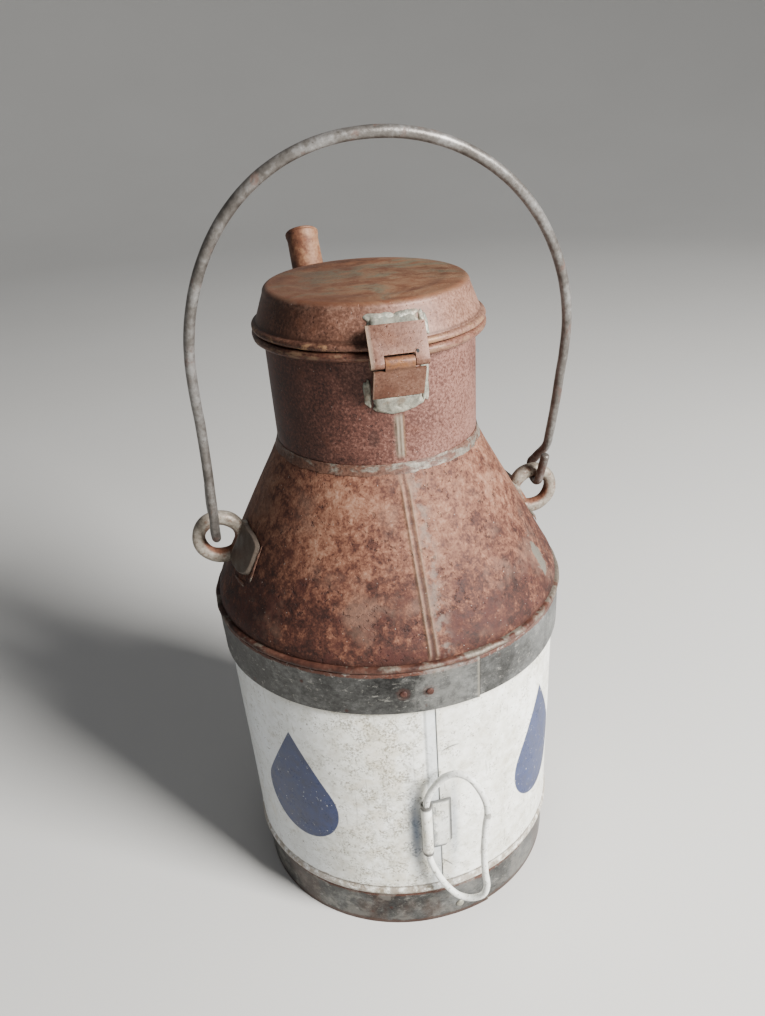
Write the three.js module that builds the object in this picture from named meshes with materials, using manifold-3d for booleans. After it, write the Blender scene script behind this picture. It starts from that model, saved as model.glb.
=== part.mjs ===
// Ten-litre motor oil can of soldered sheet: a drum body with riveted bands, a conical shoulder,
// a wide neck with a hinged lid, a filler spout behind, a wire bail hooked in two eye lugs,
// and a wire tilt handle that swings in a rolled bracket low on the front.
// Millimetres and degrees, +Z up. The origin is on the floor under the can's axis. The front is -Y.
// Bearings are turned from the front towards +X.
import * as THREE from 'three';
import { mergeVertices } from 'three/addons/utils/BufferGeometryUtils.js';
import Module from 'manifold-3d';

const wasm = await Module();
wasm.setup();

// ---------- driving dimensions ----------
const SHEET = 1.2; // wall of the body, base band, cone and neck
const GAP = 0.3; // clearance between pieces that touch
const FACETS = 56; // sides of a large turned piece
const MERGE = 1e-4; // points closer than this are one point
const PAST = 1; // how far a cutting shape runs past what it cuts

const BODY_RADIUS = 112.2; // outside of the painted wall
const BODY_BOTTOM = 34; // lower edge of the painted wall
const BODY_HEIGHT = 196.6;
const BODY_BEAD_PROUD = 1.3;
const BODY_BEAD_HALF_HEIGHT = 3.4;
const BODY_SEAM_WIDTH = 6;
const BODY_SEAM_PROUD = 0.8;

const BASE_OVERLAP = 12; // how far the base band is tucked up inside the body wall
const BASE_LAP = [2, 19]; // bearings of the base band's overlap
const BASE_LAP_CLEAR = 1.5; // from the overlap up to the body wall
const BASE_RIVET_BEARING = 6.8;
const BASE_RIVET_HEIGHT = 11;
const FLOOR_RECESS = 2.5; // from the floor up to the bottom plate
const FLOOR_FLANGE = 10; // height of the plate's turned-up edge
const LAP_RISE = 1; // step at the free end of a band's overlap

const TOP_BAND_SHEET = 2.5; // a doubled sheet
const TOP_BAND_HEIGHT = 29.8;
const TOP_BAND_LAP = [-14, 14.3];
const TOP_BAND_LAP_CLEAR = 1; // from the overlap up to the band's edge
const TOP_RIVET_LEFT_BEARING = -9.3;
const TOP_RIVET_RIGHT_BEARING = -1.4;

const SHOULDER_SEAM_PROUD = 3.9; // past the body wall
const SHOULDER_SEAM_HEIGHT = 4;
const SHOULDER_PROUD = 0.6; // outside of the cone's foot, past the body wall
const SHOULDER_BEND = 21; // bend radius between the seam and the cone
const CONE_RISE = 99; // from the foot to where the cone's outside would meet the neck's
const CONE_SEAM_WIDTH = 7;
const CONE_SEAM_STOP = 6; // the seam ends this far out from the neck
const SEAM_PROUD = 0.9;

const NECK_RADIUS = 61;
const NECK_TUCK = 8.2; // how far the neck reaches down inside the cone
const NECK_HEIGHT = 74.8; // from the cone to the neck's upper edge, under the lid
const NECK_SEAM_WIDTH = 4;
const NECK_SEAM_FOOT = 6; // clear of the cone
const NECK_SOLDER_SPREAD = 4.3; // out along the cone
const NECK_SOLDER_RISE = 4; // up along the neck
const MOUTH_RING_PROUD = 6.5; // past the neck
const MOUTH_RING_DROP = 11.2; // from the neck's upper edge to the middle of the ring
const MOUTH_RING_ROLL = 2.5;
const MOUTH_RING_HALF_ROOT = 1.5; // half height of the ring where it meets the neck

const LID_SHEET = 1;
const LID_OVERHANG = 3.4; // outside of the lid's side past the neck, just above its rolled edge
const LID_DRAFT = 5.8; // how far the side leans in on its way up
const LID_RISE = 14; // top of the lid above the neck
const LID_CROWN = 0.6;
const LID_CORNER = 4;
const LID_ROLL = 1.75; // radius of the rolled edge
const LID_ROLL_PROUD = 0.9; // from the lid's side out to the middle of the roll

const PIN_PROUD = 8.2; // hinge pin, ahead of the lid's side
const PIN_DROP = 1.3; // from the middle of the mouth ring down to the pin
const PIN_RADIUS = 1.3;
const PIN_SHORT = 0.4; // each end of the pin inside its knuckle
const KNUCKLE_RADIUS = 2.8;
const LEAF_SHEET = 1.4;
const LEAF_LEAN = 26; // each leaf leans in from the pin
const LID_LEAF_HALF_WIDTH = 15.5;
const LID_LEAF_LENGTH = 18.7;
const NECK_LEAF_HALF_WIDTH = 14;
const NECK_LEAF_LENGTH = 21.4;
const MIDDLE_KNUCKLE_HALF = 7.9;
const SOLDER_FILM = 1.2;
const HINGE_SOLDER_SPREAD = 17; // to each side of the front
const LID_SOLDER_INSET = 5; // the lump behind a leaf, in from each side of it
const NECK_SOLDER_INSET = 3;
const NECK_SOLDER_DROP = 11; // below the end of the neck's leaf
const SOLDER_LEDGE = 1.6; // thickness of the lump's lower edge

const LEFT_LUG_INSET = 7.2; // from the cone's foot in to the middle of the eye
const RIGHT_LUG_INSET = 9.6;
const LUG_RISE = 42.6; // from the cone's foot up to the middle of each eye
const LUG_EYE_RADIUS = 13.2; // middle line of the eye
const LUG_ROD_RADIUS = 4.4;
const TANG_SHEET = 2.4;
const TANG_LENGTH = 40;
const TANG_HEIGHT = 27;
const TANG_CORNER = 6;
const TANG_DROP = 3; // middle of the tang below the middle of the eye

const BAIL_WIRE_RADIUS = 2.9;
const BAIL_LEAN = 16; // the raised bail leans to the front
const BAIL_APEX_X = -2.9; // the arch was bent by hand, so its top is off the middle
const BAIL_SPRING = 86; // height of the arch's springing above the pivot
const BAIL_RISE = 129.4;
const BAIL_LEFT_SQUARE = 2.2; // exponent of the arch's curve: 2 is an ellipse
const BAIL_RIGHT_SQUARE = 2;
const HOOK_OUT = 2.3; // each hook hangs this far out from the middle of its eye
const LEFT_HOOK_SLACK = 5; // between the hook's inside and the eye's bar
const RIGHT_HOOK_SLACK = 0.7;
const HOOK_TIP = 16.5; // height of each free hook end above the pivot
const LEFT_TIP_FLARE = -1.4; // each free end leans out from its hook by this
const RIGHT_TIP_FLARE = 1.6;
// Each leg from its hook up to the springing: out past the hook, off the bail's plane as a
// share of the hook's radius, and height above the pivot.
const BAIL_LEFT_LEG = [
  [-0.8, 1, 8],
  [-1.4, 0.93, 18],
  [-2.05, 0.7, 30],
  [-2.85, 0.35, 44],
  [-3.5, 0.08, 60],
  [-3.8, 0, 73],
];
const BAIL_RIGHT_LEG = [
  [1.8, 0.93, 3],
  [3.4, 0.78, 7],
  [5, 0.58, 11],
  [6, 0.38, 15],
  [6.3, 0.19, 20],
  [5.9, 0.05, 27],
  [6, 0, 40],
  [6.1, 0, 56],
  [5.8, 0, 73],
];

const SPOUT_TURN = 2; // off straight behind
const SPOUT_LEAN = 31.5; // from upright
const SPOUT_FOOT_REACH = 106; // from the can's axis to where the spout's axis leaves the cone
const SPOUT_LENGTH = 191.4; // from there to the mouth
const SPOUT_ROOT = 15.6; // drawn on below the cone, before the foot is cut to it
const SPOUT_FOOT_RADIUS = 14;
const SPOUT_TIP_RADIUS = 11.7;
const SPOUT_WALL = 1;
const SPOUT_LIP = 4; // length of the thickened lip
const SPOUT_LIP_PROUD = 0.8;
const SPOUT_LIP_ROUND = 1;
const SPOUT_SOLDER_SPREAD = 3;
const SPOUT_SOLDER_THICK = 2.4;

const TILT_WIRE_RADIUS = 2.3;
const TILT_BEARING = -4.65; // the bracket's tube
const TILT_MIDDLE = 102; // height of the middle of the tube
const TILT_TUBE_LENGTH = 45;
const TILT_TUBE_WALL = 1;
const TILT_TURN_OUT = 25; // the loop stands off the tangent
const TILT_PLATE_WIDTH = 17;
const TILT_PLATE_INSET = 1; // the plate is shorter than the tube at each end
const TILT_PLATE_CORNER = 6;
// The loop in its own plane: out from the tube's axis, and up from the tube's middle. Its two
// ends stand in the tube with a space between them.
const TILT_ROUTE = [
  [0, 10],
  [0, 22],
  [1.5, 30],
  [6, 40],
  [13, 50],
  [21, 54.5],
  [29, 52],
  [36, 42],
  [40, 28],
  [38.6, 10],
  [37.6, -12],
  [38.4, -32],
  [39.6, -46],
  [36.5, -56],
  [28, -61.5],
  [19.5, -60.5],
  [11, -52],
  [4.5, -40],
  [1, -30],
  [0, -22],
  [0, -10],
];

const RIVET_RADIUS = 3.2;
const RIVET_HEIGHT = 1.5;

// ---------- sizes that follow ----------
const BODY_TOP = BODY_BOTTOM + BODY_HEIGHT;
const INNER_RADIUS = BODY_RADIUS - SHEET;
const BASE_RADIUS = INNER_RADIUS - GAP;
const TOP_BAND_INNER = BODY_RADIUS + GAP;
const TOP_BAND_RADIUS = TOP_BAND_INNER + TOP_BAND_SHEET;
const TOP_BAND_BOTTOM = BODY_TOP - TOP_BAND_HEIGHT;
const SEAM_BASE = BODY_TOP + GAP;
const SEAM_TOP = SEAM_BASE + SHOULDER_SEAM_HEIGHT;
const CONE_BASE = SEAM_TOP + GAP;
const SHOULDER_RADIUS = BODY_RADIUS + SHOULDER_PROUD;
const CONE_TOP = CONE_BASE + CONE_RISE;
const NECK_INNER = NECK_RADIUS - SHEET;
const NECK_LIP = CONE_TOP + NECK_HEIGHT;
const MOUTH_RING_HEIGHT = NECK_LIP - MOUTH_RING_DROP;
const MOUTH_RING_RADIUS = NECK_RADIUS + MOUTH_RING_PROUD;
const LID_BASE = MOUTH_RING_HEIGHT + MOUTH_RING_ROLL + 1.5 * GAP;
const LID_SIDE_BASE = LID_BASE + 2 * LID_ROLL;
const LID_RADIUS = NECK_RADIUS + LID_OVERHANG;
const LID_TOP_RADIUS = LID_RADIUS - LID_DRAFT;
const LID_TOP = NECK_LIP + LID_RISE;
const PIN_DEPTH = LID_RADIUS + PIN_PROUD;
const PIN_HEIGHT = MOUTH_RING_HEIGHT - PIN_DROP;
const HINGE_SOLDER_FOOT = PIN_HEIGHT - NECK_LEAF_LENGTH - NECK_SOLDER_DROP;
const LEFT_LUG_REACH = SHOULDER_RADIUS - LEFT_LUG_INSET;
const RIGHT_LUG_REACH = SHOULDER_RADIUS - RIGHT_LUG_INSET;
const LUG_HEIGHT = CONE_BASE + LUG_RISE;
const PIVOT_HEIGHT = LUG_HEIGHT + LUG_EYE_RADIUS;
const HOOK_CLOSE = LUG_ROD_RADIUS + BAIL_WIRE_RADIUS; // radius of a hook with no slack

// ---------- materials ----------
const RUST = [0x7a4a38, 0.85, 0.25];
const NECK_RUST = [0x6b463f, 0.8, 0.3];
const ZINC = [0x77756f, 0.65, 0.5];
const PAINT = [0xc9c4b5, 0.6, 0];
const SOLDER = [0x8d8f86, 0.6, 0.4];
const WIRE = [0x8b8078, 0.6, 0.5];

// ---------- helpers ----------
const can = new THREE.Group();

function add(name, geometry, [color, roughness, metalness]) {
  const material = new THREE.MeshStandardMaterial({ color, roughness, metalness });
  const piece = new THREE.Mesh(geometry, material);
  piece.name = name;
  can.add(piece);
  return piece;
}

const radians = THREE.MathUtils.degToRad;
const degrees = THREE.MathUtils.radToDeg;

// Points of an arc in a plane, from one angle to another in degrees.
function arc(x, y, radius, from, to, count) {
  return Array.from({ length: count + 1 }, (_, i) => {
    const a = radians(from + ((to - from) * i) / count);
    return [x + radius * Math.cos(a), y + radius * Math.sin(a)];
  });
}

function circle(x, y, radius, count) {
  return arc(x, y, radius, 0, 360, count).slice(0, count);
}

// The point at a bearing and a distance from the axis.
function bearing(turn, distance, height = 0) {
  const a = radians(turn);
  return new THREE.Vector3(distance * Math.sin(a), -distance * Math.cos(a), height);
}

// An open path moved sideways to its left, with mitred corners.
function offset(path, distance) {
  const normal = (i) => {
    const [a, b] = [path[i], path[i + 1]];
    const length = Math.hypot(b[0] - a[0], b[1] - a[1]);
    return [-(b[1] - a[1]) / length, (b[0] - a[0]) / length];
  };
  return path.map((p, i) => {
    const before = normal(Math.max(i - 1, 0));
    const after = normal(Math.min(i, path.length - 2));
    const sum = [before[0] + after[0], before[1] + after[1]];
    const scale = (2 * distance) / (sum[0] ** 2 + sum[1] ** 2);
    return [p[0] + sum[0] * scale, p[1] + sum[1] * scale];
  });
}

// The closed outline of sheet of a given thickness whose outside is the path.
function sheet(path, thickness) {
  return [...path, ...offset(path, thickness).reverse()];
}

function rectangle(left, bottom, right, top) {
  return [[left, bottom], [right, bottom], [right, top], [left, top]];
}

function solid(geometry) {
  const bare = new THREE.BufferGeometry();
  const source = geometry.index ? geometry.toNonIndexed() : geometry;
  bare.setAttribute('position', source.getAttribute('position').clone());
  const merged = mergeVertices(bare, MERGE);
  const corners = [];
  for (let i = 0; i < merged.index.count; i += 3) {
    const [a, b, c] = [0, 1, 2].map((k) => merged.index.getX(i + k));
    if (a !== b && b !== c && c !== a) corners.push(a, b, c);
  }
  const build = (triVerts) =>
    new wasm.Manifold(
      new wasm.Mesh({
        numProp: 3,
        vertProperties: merged.attributes.position.array,
        triVerts,
      }),
    );
  const made = build(new Uint32Array(corners));
  return made.volume() < 0 ? build(new Uint32Array(corners.reverse())) : made;
}

function geometryOf(manifold) {
  const mesh = manifold.getMesh();
  const geometry = new THREE.BufferGeometry();
  const places = new Float32Array(mesh.numVert * 3);
  for (let i = 0; i < mesh.numVert; i += 1) {
    places.set(mesh.vertProperties.subarray(i * mesh.numProp, i * mesh.numProp + 3), i * 3);
  }
  geometry.setAttribute('position', new THREE.BufferAttribute(places, 3));
  geometry.setIndex(new THREE.BufferAttribute(new Uint32Array(mesh.triVerts), 1));
  geometry.computeVertexNormals();
  return geometry;
}

// A solid of revolution about Z from a closed outline of [radius, height] points.
function turned(outline, facets = FACETS) {
  const points = [...outline, outline[0]].map(([r, z]) => new THREE.Vector2(r, z));
  return solid(new THREE.LatheGeometry(points, facets).rotateX(Math.PI / 2));
}

function flat(outline, hole) {
  const shape = new THREE.Shape(outline.map(([x, y]) => new THREE.Vector2(x, y)));
  if (hole) shape.holes.push(new THREE.Path(hole.map(([x, y]) => new THREE.Vector2(x, y))));
  return shape;
}

function extruded(shape, depth) {
  return new THREE.ExtrudeGeometry(shape, { depth, bevelEnabled: false });
}

// An outline in the plan, carried up from one height to another.
function upright(outline, bottom, top) {
  return solid(extruded(flat(outline), top - bottom).translate(0, 0, bottom));
}

// An outline of [y, z] points, carried along X.
const CROSSWISE = new THREE.Matrix4().makeBasis(
  new THREE.Vector3(0, 1, 0),
  new THREE.Vector3(0, 0, 1),
  new THREE.Vector3(1, 0, 0),
);
function across(outline, from, to, hole) {
  const geometry = extruded(flat(outline, hole), to - from);
  return solid(geometry.applyMatrix4(CROSSWISE).translate(from, 0, 0));
}

// A curved plate between two radii, over a range of bearings. The outer radius may rise by lap.
const WRAP_STEP = 3;
function wrapped(inner, outer, [from, to], bottom, top, lap = 0) {
  const steps = Math.max(2, Math.ceil((to - from) / WRAP_STEP));
  const ring = (radius, rise) =>
    Array.from({ length: steps + 1 }, (_, i) => {
      const t = i / steps;
      const p = bearing(from + (to - from) * t, radius + rise * t);
      return [p.x, p.y];
    });
  return upright([...ring(outer, lap), ...ring(inner, 0).reverse()], bottom, top);
}

// Round wire along a curve.
function wire(points, radius, steps) {
  const extrudePath = new THREE.CatmullRomCurve3(points, false, 'centripetal');
  const settings = { steps, bevelEnabled: false, extrudePath };
  return solid(new THREE.ExtrudeGeometry(flat(circle(0, 0, radius, 8)), settings));
}

// A domed head whose flat back faces the axis.
function rivetHead(turn, distance, height) {
  const dome = arc(0, 0, 1, 0, 90, 4).map(([x, y]) => [RIVET_RADIUS * x, RIVET_HEIGHT * y]);
  const head = turned([[0, 0], ...dome.slice(0, -1), [0, RIVET_HEIGHT]], 12);
  const place = new THREE.Object3D();
  place.position.copy(bearing(turn, distance, height));
  place.rotation.set(Math.PI / 2, 0, radians(turn), 'ZYX');
  place.updateMatrix();
  return geometryOf(head).applyMatrix4(place.matrix);
}

// How far a rivet head sits out on a band's overlap, which thickens along its length.
function onLap(radius, [from, to], turn) {
  return radius + (LAP_RISE * (turn - from)) / (to - from) + GAP;
}

// ---------- outside of the shoulder and cone, from the seam up to the neck ----------
const BEND_STEPS = 5;
function conePath() {
  const middle = [SHOULDER_RADIUS - SHOULDER_BEND, CONE_BASE];
  const top = [NECK_RADIUS, CONE_TOP];
  const [run, rise] = [top[0] - middle[0], top[1] - middle[1]];
  const slope = Math.atan2(rise, run) - Math.acos(SHOULDER_BEND / Math.hypot(run, rise));
  const bend = arc(...middle, SHOULDER_BEND, 0, degrees(slope), BEND_STEPS);
  const start = bend[BEND_STEPS];
  const clear = NECK_RADIUS + GAP + SHEET; // the sheet stops clear of the neck
  const share = (clear - start[0]) / (top[0] - start[0]);
  return [...bend, [clear, start[1] + (top[1] - start[1]) * share]];
}
const CONE = conePath();

// Height of the cone's outside at a distance from the axis, on its straight part.
function coneHeight(radius) {
  const [low, high] = CONE.slice(-2);
  return low[1] + ((high[1] - low[1]) * (low[0] - radius)) / (low[0] - high[0]);
}

// Everything within a clearance of the cone, filled in to the axis and down to a foot.
const ENVELOPE_FOOT = CONE_BASE - 30;
function coneEnvelope(clearance) {
  const path = offset(CONE, -clearance);
  const [reach, height] = path[path.length - 1];
  return turned([[0, ENVELOPE_FOOT], [path[0][0], ENVELOPE_FOOT], ...path, [0, height + reach]]);
}

// A skin that lies on the cone between two clearances, from one height to another.
function coneSkin(inner, outer, low, high) {
  const slab = turned(rectangle(0, low, SHOULDER_RADIUS + outer, high));
  return coneEnvelope(outer).subtract(coneEnvelope(inner)).intersect(slab);
}

// ---------- body ----------
const BEAD_MIDDLE = BODY_BOTTOM + BODY_BEAD_HALF_HEIGHT;
const BEAD_HALF_STEPS = 3;

function bodyWall() {
  const bead = Array.from({ length: 2 * BEAD_HALF_STEPS + 1 }, (_, i) => {
    const t = i / BEAD_HALF_STEPS - 1;
    const proud = BODY_BEAD_PROUD * Math.cos((t * Math.PI) / 2);
    return [BODY_RADIUS + proud, BEAD_MIDDLE + BODY_BEAD_HALF_HEIGHT * t];
  });
  const back = [[INNER_RADIUS, BODY_TOP], [INNER_RADIUS, BODY_BOTTOM]];
  const wall = turned([...bead, [BODY_RADIUS, BODY_TOP], ...back]);
  const width = degrees(BODY_SEAM_WIDTH / BODY_RADIUS);
  const seamBottom = BEAD_MIDDLE + 2 * BODY_BEAD_HALF_HEIGHT;
  const seamTop = TOP_BAND_BOTTOM - GAP;
  const [root, proud] = [BODY_RADIUS - SHEET / 2, BODY_RADIUS + BODY_SEAM_PROUD];
  return wall.add(wrapped(root, proud, [-width, 0], seamBottom, seamTop));
}
add('body_wall', geometryOf(bodyWall()), PAINT);

function baseBand() {
  const band = turned(rectangle(BASE_RADIUS - SHEET, 0, BASE_RADIUS, BODY_BOTTOM + BASE_OVERLAP));
  const lapTop = BODY_BOTTOM - BASE_LAP_CLEAR;
  return band.add(wrapped(BASE_RADIUS - SHEET / 2, BASE_RADIUS, BASE_LAP, 0, lapTop, LAP_RISE));
}
add('base_band', geometryOf(baseBand()), ZINC);

const baseRivetReach = onLap(BASE_RADIUS, BASE_LAP, BASE_RIVET_BEARING);
add('base_band_rivet', rivetHead(BASE_RIVET_BEARING, baseRivetReach, BASE_RIVET_HEIGHT), ZINC);

function bottomPlate() {
  const radius = BASE_RADIUS - SHEET - GAP;
  const path = [[0, FLOOR_RECESS], [radius, FLOOR_RECESS], [radius, FLOOR_RECESS + FLOOR_FLANGE]];
  const outline = sheet(path, SHEET);
  outline[outline.length - 1][0] = 0;
  return turned(outline);
}
add('bottom_plate', geometryOf(bottomPlate()), ZINC);

function topBand() {
  const band = turned(rectangle(TOP_BAND_INNER, TOP_BAND_BOTTOM, TOP_BAND_RADIUS, BODY_TOP));
  const root = TOP_BAND_RADIUS - TOP_BAND_SHEET / 2;
  const lapTop = BODY_TOP - TOP_BAND_LAP_CLEAR;
  return band.add(wrapped(root, TOP_BAND_RADIUS, TOP_BAND_LAP, TOP_BAND_BOTTOM, lapTop, LAP_RISE));
}
add('top_band', geometryOf(topBand()), ZINC);

const BAND_RIVETS = {
  top_band_rivet_left: TOP_RIVET_LEFT_BEARING,
  top_band_rivet_right: TOP_RIVET_RIGHT_BEARING,
};
for (const [name, turn] of Object.entries(BAND_RIVETS)) {
  const reach = onLap(TOP_BAND_RADIUS, TOP_BAND_LAP, turn);
  add(name, rivetHead(turn, reach, TOP_BAND_BOTTOM + TOP_BAND_HEIGHT / 2), ZINC);
}

// ---------- shoulder ----------
function shoulderSeam() {
  const inner = SHOULDER_RADIUS - SHEET;
  const round = SHOULDER_SEAM_HEIGHT / 2;
  const middle = BODY_RADIUS + SHOULDER_SEAM_PROUD - round;
  const nose = arc(middle, SEAM_BASE + round, round, -90, 90, 6);
  return turned([...nose, [inner, SEAM_TOP], [inner, SEAM_BASE]]);
}
add('shoulder_seam', geometryOf(shoulderSeam()), RUST);

const SPOUT_BEARING = 180 + SPOUT_TURN;
const spoutRun = Math.sin(radians(SPOUT_LEAN));
const spoutRise = Math.cos(radians(SPOUT_LEAN));
const spoutUp = bearing(SPOUT_BEARING, spoutRun, spoutRise);
const spoutFoot = bearing(SPOUT_BEARING, SPOUT_FOOT_REACH, coneHeight(SPOUT_FOOT_REACH));
const SPOUT_FOOT = -SPOUT_LENGTH;
const SPOUT_END = SPOUT_FOOT - SPOUT_ROOT;

// A turned piece about the spout's axis, with its heights counted down from the mouth.
function alongSpout(outline, facets = 24) {
  const turn = new THREE.Quaternion().setFromUnitVectors(new THREE.Vector3(0, 0, 1), spoutUp);
  const mouth = spoutFoot.clone().addScaledVector(spoutUp, SPOUT_LENGTH);
  const place = new THREE.Matrix4().compose(mouth, turn, new THREE.Vector3(1, 1, 1));
  return solid(geometryOf(turned(outline, facets)).applyMatrix4(place));
}

function shoulderCone() {
  const shell = turned(sheet(CONE, SHEET));
  const top = NECK_RADIUS + CONE_SEAM_STOP;
  const ridge = offset(CONE, -SEAM_PROUD).slice(0, -1);
  const root = offset(CONE, SHEET / 2).slice(0, -1);
  const end = [[top, coneHeight(top) + SEAM_PROUD], [top, coneHeight(top) - SHEET / 2]];
  const outline = [...ridge, ...end, ...root.reverse()].map(([r, z]) => [-r, z]);
  const seam = across(outline, -CONE_SEAM_WIDTH / 2, CONE_SEAM_WIDTH / 2);
  const bore = SPOUT_FOOT_RADIUS - SPOUT_WALL;
  const hole = alongSpout(rectangle(0, SPOUT_END - 2 * bore, bore, SPOUT_END + SPOUT_LENGTH));
  return shell.add(seam).subtract(hole);
}
add('shoulder_cone', geometryOf(shoulderCone()), RUST);

// ---------- neck ----------
function neck() {
  const tube = turned(rectangle(NECK_INNER, CONE_TOP - NECK_TUCK, NECK_RADIUS, NECK_LIP));
  const half = degrees(NECK_SEAM_WIDTH / NECK_RADIUS / 2);
  const bottom = CONE_TOP + NECK_SEAM_FOOT;
  const top = HINGE_SOLDER_FOOT - 2 * GAP;
  const root = NECK_RADIUS - SHEET / 2;
  return tube.add(wrapped(root, NECK_RADIUS + SEAM_PROUD, [-half, half], bottom, top));
}
add('neck_tube', geometryOf(neck()), NECK_RUST);

function neckSolder() {
  const [low, high] = CONE.slice(-2);
  const length = Math.hypot(high[0] - low[0], high[1] - low[1]);
  const [out, up] = [(high[1] - low[1]) / length, (low[0] - high[0]) / length];
  const onCone = (radius) => [radius, coneHeight(radius) + GAP / up];
  const inner = NECK_RADIUS + GAP;
  const foot = onCone(inner + NECK_SOLDER_SPREAD);
  const edge = [foot[0] + SOLDER_FILM * out, foot[1] + SOLDER_FILM * up];
  const crest = CONE_TOP + NECK_SOLDER_RISE;
  const shoulder = [inner + SOLDER_FILM, crest - SOLDER_FILM];
  return turned([onCone(inner), foot, edge, shoulder, [inner, crest]]);
}
add('neck_solder', geometryOf(neckSolder()), SOLDER);

function mouthRing() {
  const inner = NECK_RADIUS + GAP;
  const middle = MOUTH_RING_RADIUS - MOUTH_RING_ROLL;
  const nose = arc(middle, MOUTH_RING_HEIGHT, MOUTH_RING_ROLL, -90, 90, 6);
  const high = [inner, MOUTH_RING_HEIGHT + MOUTH_RING_HALF_ROOT];
  const low = [inner, MOUTH_RING_HEIGHT - MOUTH_RING_HALF_ROOT];
  return turned([...nose, high, low]);
}
add('mouth_ring', geometryOf(mouthRing()), NECK_RUST);

// ---------- lid ----------
const LID_CORNER_BASE = LID_TOP - LID_CORNER;

function lidPath() {
  const corner = arc(LID_TOP_RADIUS - LID_CORNER, LID_CORNER_BASE, LID_CORNER, 20, 90, 3);
  const side = [[LID_RADIUS, LID_SIDE_BASE], [LID_TOP_RADIUS, LID_CORNER_BASE]];
  return [...side, ...corner, [0, LID_TOP + LID_CROWN]];
}
const LID = lidPath();

function lidShell() {
  const inside = offset(LID, LID_SHEET).reverse();
  inside[0][0] = 0;
  const [middle, end] = [LID_RADIUS + LID_ROLL_PROUD, LID_RADIUS - LID_SHEET];
  const roll = arc(middle, LID_BASE + LID_ROLL, LID_ROLL, -90, 70, 5);
  return turned([[end, LID_BASE + GAP], ...roll, ...LID, ...inside]);
}
add('lid_shell', geometryOf(lidShell()), NECK_RUST);

// Distance from the axis to the lid's side, at a height.
function lidSide(height) {
  const [low, high] = LID;
  return low[0] + ((high[0] - low[0]) * (height - low[1])) / (high[1] - low[1]);
}

// ---------- hinge ----------
// A leaf seen from the end: up is 1 for the lid's and -1 for the neck's. Its outside face is
// tangent to the knuckle's front, and depth counts in from that face. Drawn as [y, z] points.
function leafPoint(up, along, depth) {
  const a = radians(LEAF_LEAN);
  const y = -PIN_DEPTH - (KNUCKLE_RADIUS - depth) * Math.cos(a) + along * Math.sin(a);
  const z = PIN_HEIGHT + up * ((KNUCKLE_RADIUS - depth) * Math.sin(a) + along * Math.cos(a));
  return [y, z];
}

function leafStrip(up, start, end, from, to) {
  const corners = rectangle(start, 0, end, LEAF_SHEET);
  const outline = corners.map(([along, depth]) => leafPoint(up, along, depth));
  return across(outline, from, to);
}

const pinHole = circle(-PIN_DEPTH, PIN_HEIGHT, PIN_RADIUS + GAP, 12);

// A leaf with its knuckles. Between them it stops short of the other leaf's knuckles.
function leaf(up, halfWidth, length, spans) {
  const start = KNUCKLE_RADIUS + 2 * GAP;
  const round = circle(-PIN_DEPTH, PIN_HEIGHT, KNUCKLE_RADIUS, 20);
  let piece = leafStrip(up, start, length, -halfWidth, halfWidth);
  for (const [from, to] of spans) {
    piece = piece.add(leafStrip(up, 0, start + GAP, from, to));
    piece = piece.add(across(round, from, to));
  }
  return piece.subtract(across(pinHole, -halfWidth - PAST, halfWidth + PAST));
}
const OUTER_KNUCKLE = MIDDLE_KNUCKLE_HALF + 1.3 * GAP;
const LID_SPANS = [
  [-LID_LEAF_HALF_WIDTH, -OUTER_KNUCKLE],
  [OUTER_KNUCKLE, LID_LEAF_HALF_WIDTH],
];
const NECK_SPANS = [[-MIDDLE_KNUCKLE_HALF, MIDDLE_KNUCKLE_HALF]];
const lidLeaf = leaf(1, LID_LEAF_HALF_WIDTH, LID_LEAF_LENGTH, LID_SPANS);
const neckLeaf = leaf(-1, NECK_LEAF_HALF_WIDTH, NECK_LEAF_LENGTH, NECK_SPANS);
add('lid_hinge_leaf', geometryOf(lidLeaf), NECK_RUST);
add('neck_hinge_leaf', geometryOf(neckLeaf), NECK_RUST);

const PIN_HALF = LID_LEAF_HALF_WIDTH - PIN_SHORT;
const pin = circle(-PIN_DEPTH, PIN_HEIGHT, PIN_RADIUS, 12);
add('hinge_pin', geometryOf(across(pin, -PIN_HALF, PIN_HALF)), WIRE);

const SPREAD = [-HINGE_SOLDER_SPREAD, HINGE_SOLDER_SPREAD];
const LUMP_BACK = -NECK_RADIUS / 2; // the lumps are drawn back to here, then cut by the can

// A film of solder on the lid's side and a lump behind the leaf.
function lidSolder() {
  const [low, high] = [LID_SIDE_BASE + SOLDER_FILM, LID_CORNER_BASE - 2 * GAP];
  const side = (out) =>
    turned([[0, low], [lidSide(low) + out, low], [lidSide(high) + out, high], [0, high]]);
  const wedge = wrapped(-LUMP_BACK, PIN_DEPTH, SPREAD, low, high);
  const film = side(GAP + SOLDER_FILM).subtract(side(GAP)).intersect(wedge);
  const ends = [LID_LEAF_LENGTH / 2, LID_LEAF_LENGTH - SOLDER_FILM];
  const [base, tip] = ends.map((along) => leafPoint(1, along, LEAF_SHEET + GAP));
  const lump = [[LUMP_BACK, base[1]], base, tip, [LUMP_BACK, tip[1]]];
  const half = LID_LEAF_HALF_WIDTH - LID_SOLDER_INSET;
  const [foot, crest] = [LID_SIDE_BASE, LID_CORNER_BASE].map((z) => [lidSide(z) + GAP, z]);
  const body = turned([[0, foot[1]], foot, crest, [0, crest[1]]]);
  return film.add(across(lump, -half, half)).subtract(body);
}
add('lid_hinge_solder', geometryOf(lidSolder()), SOLDER);

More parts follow.
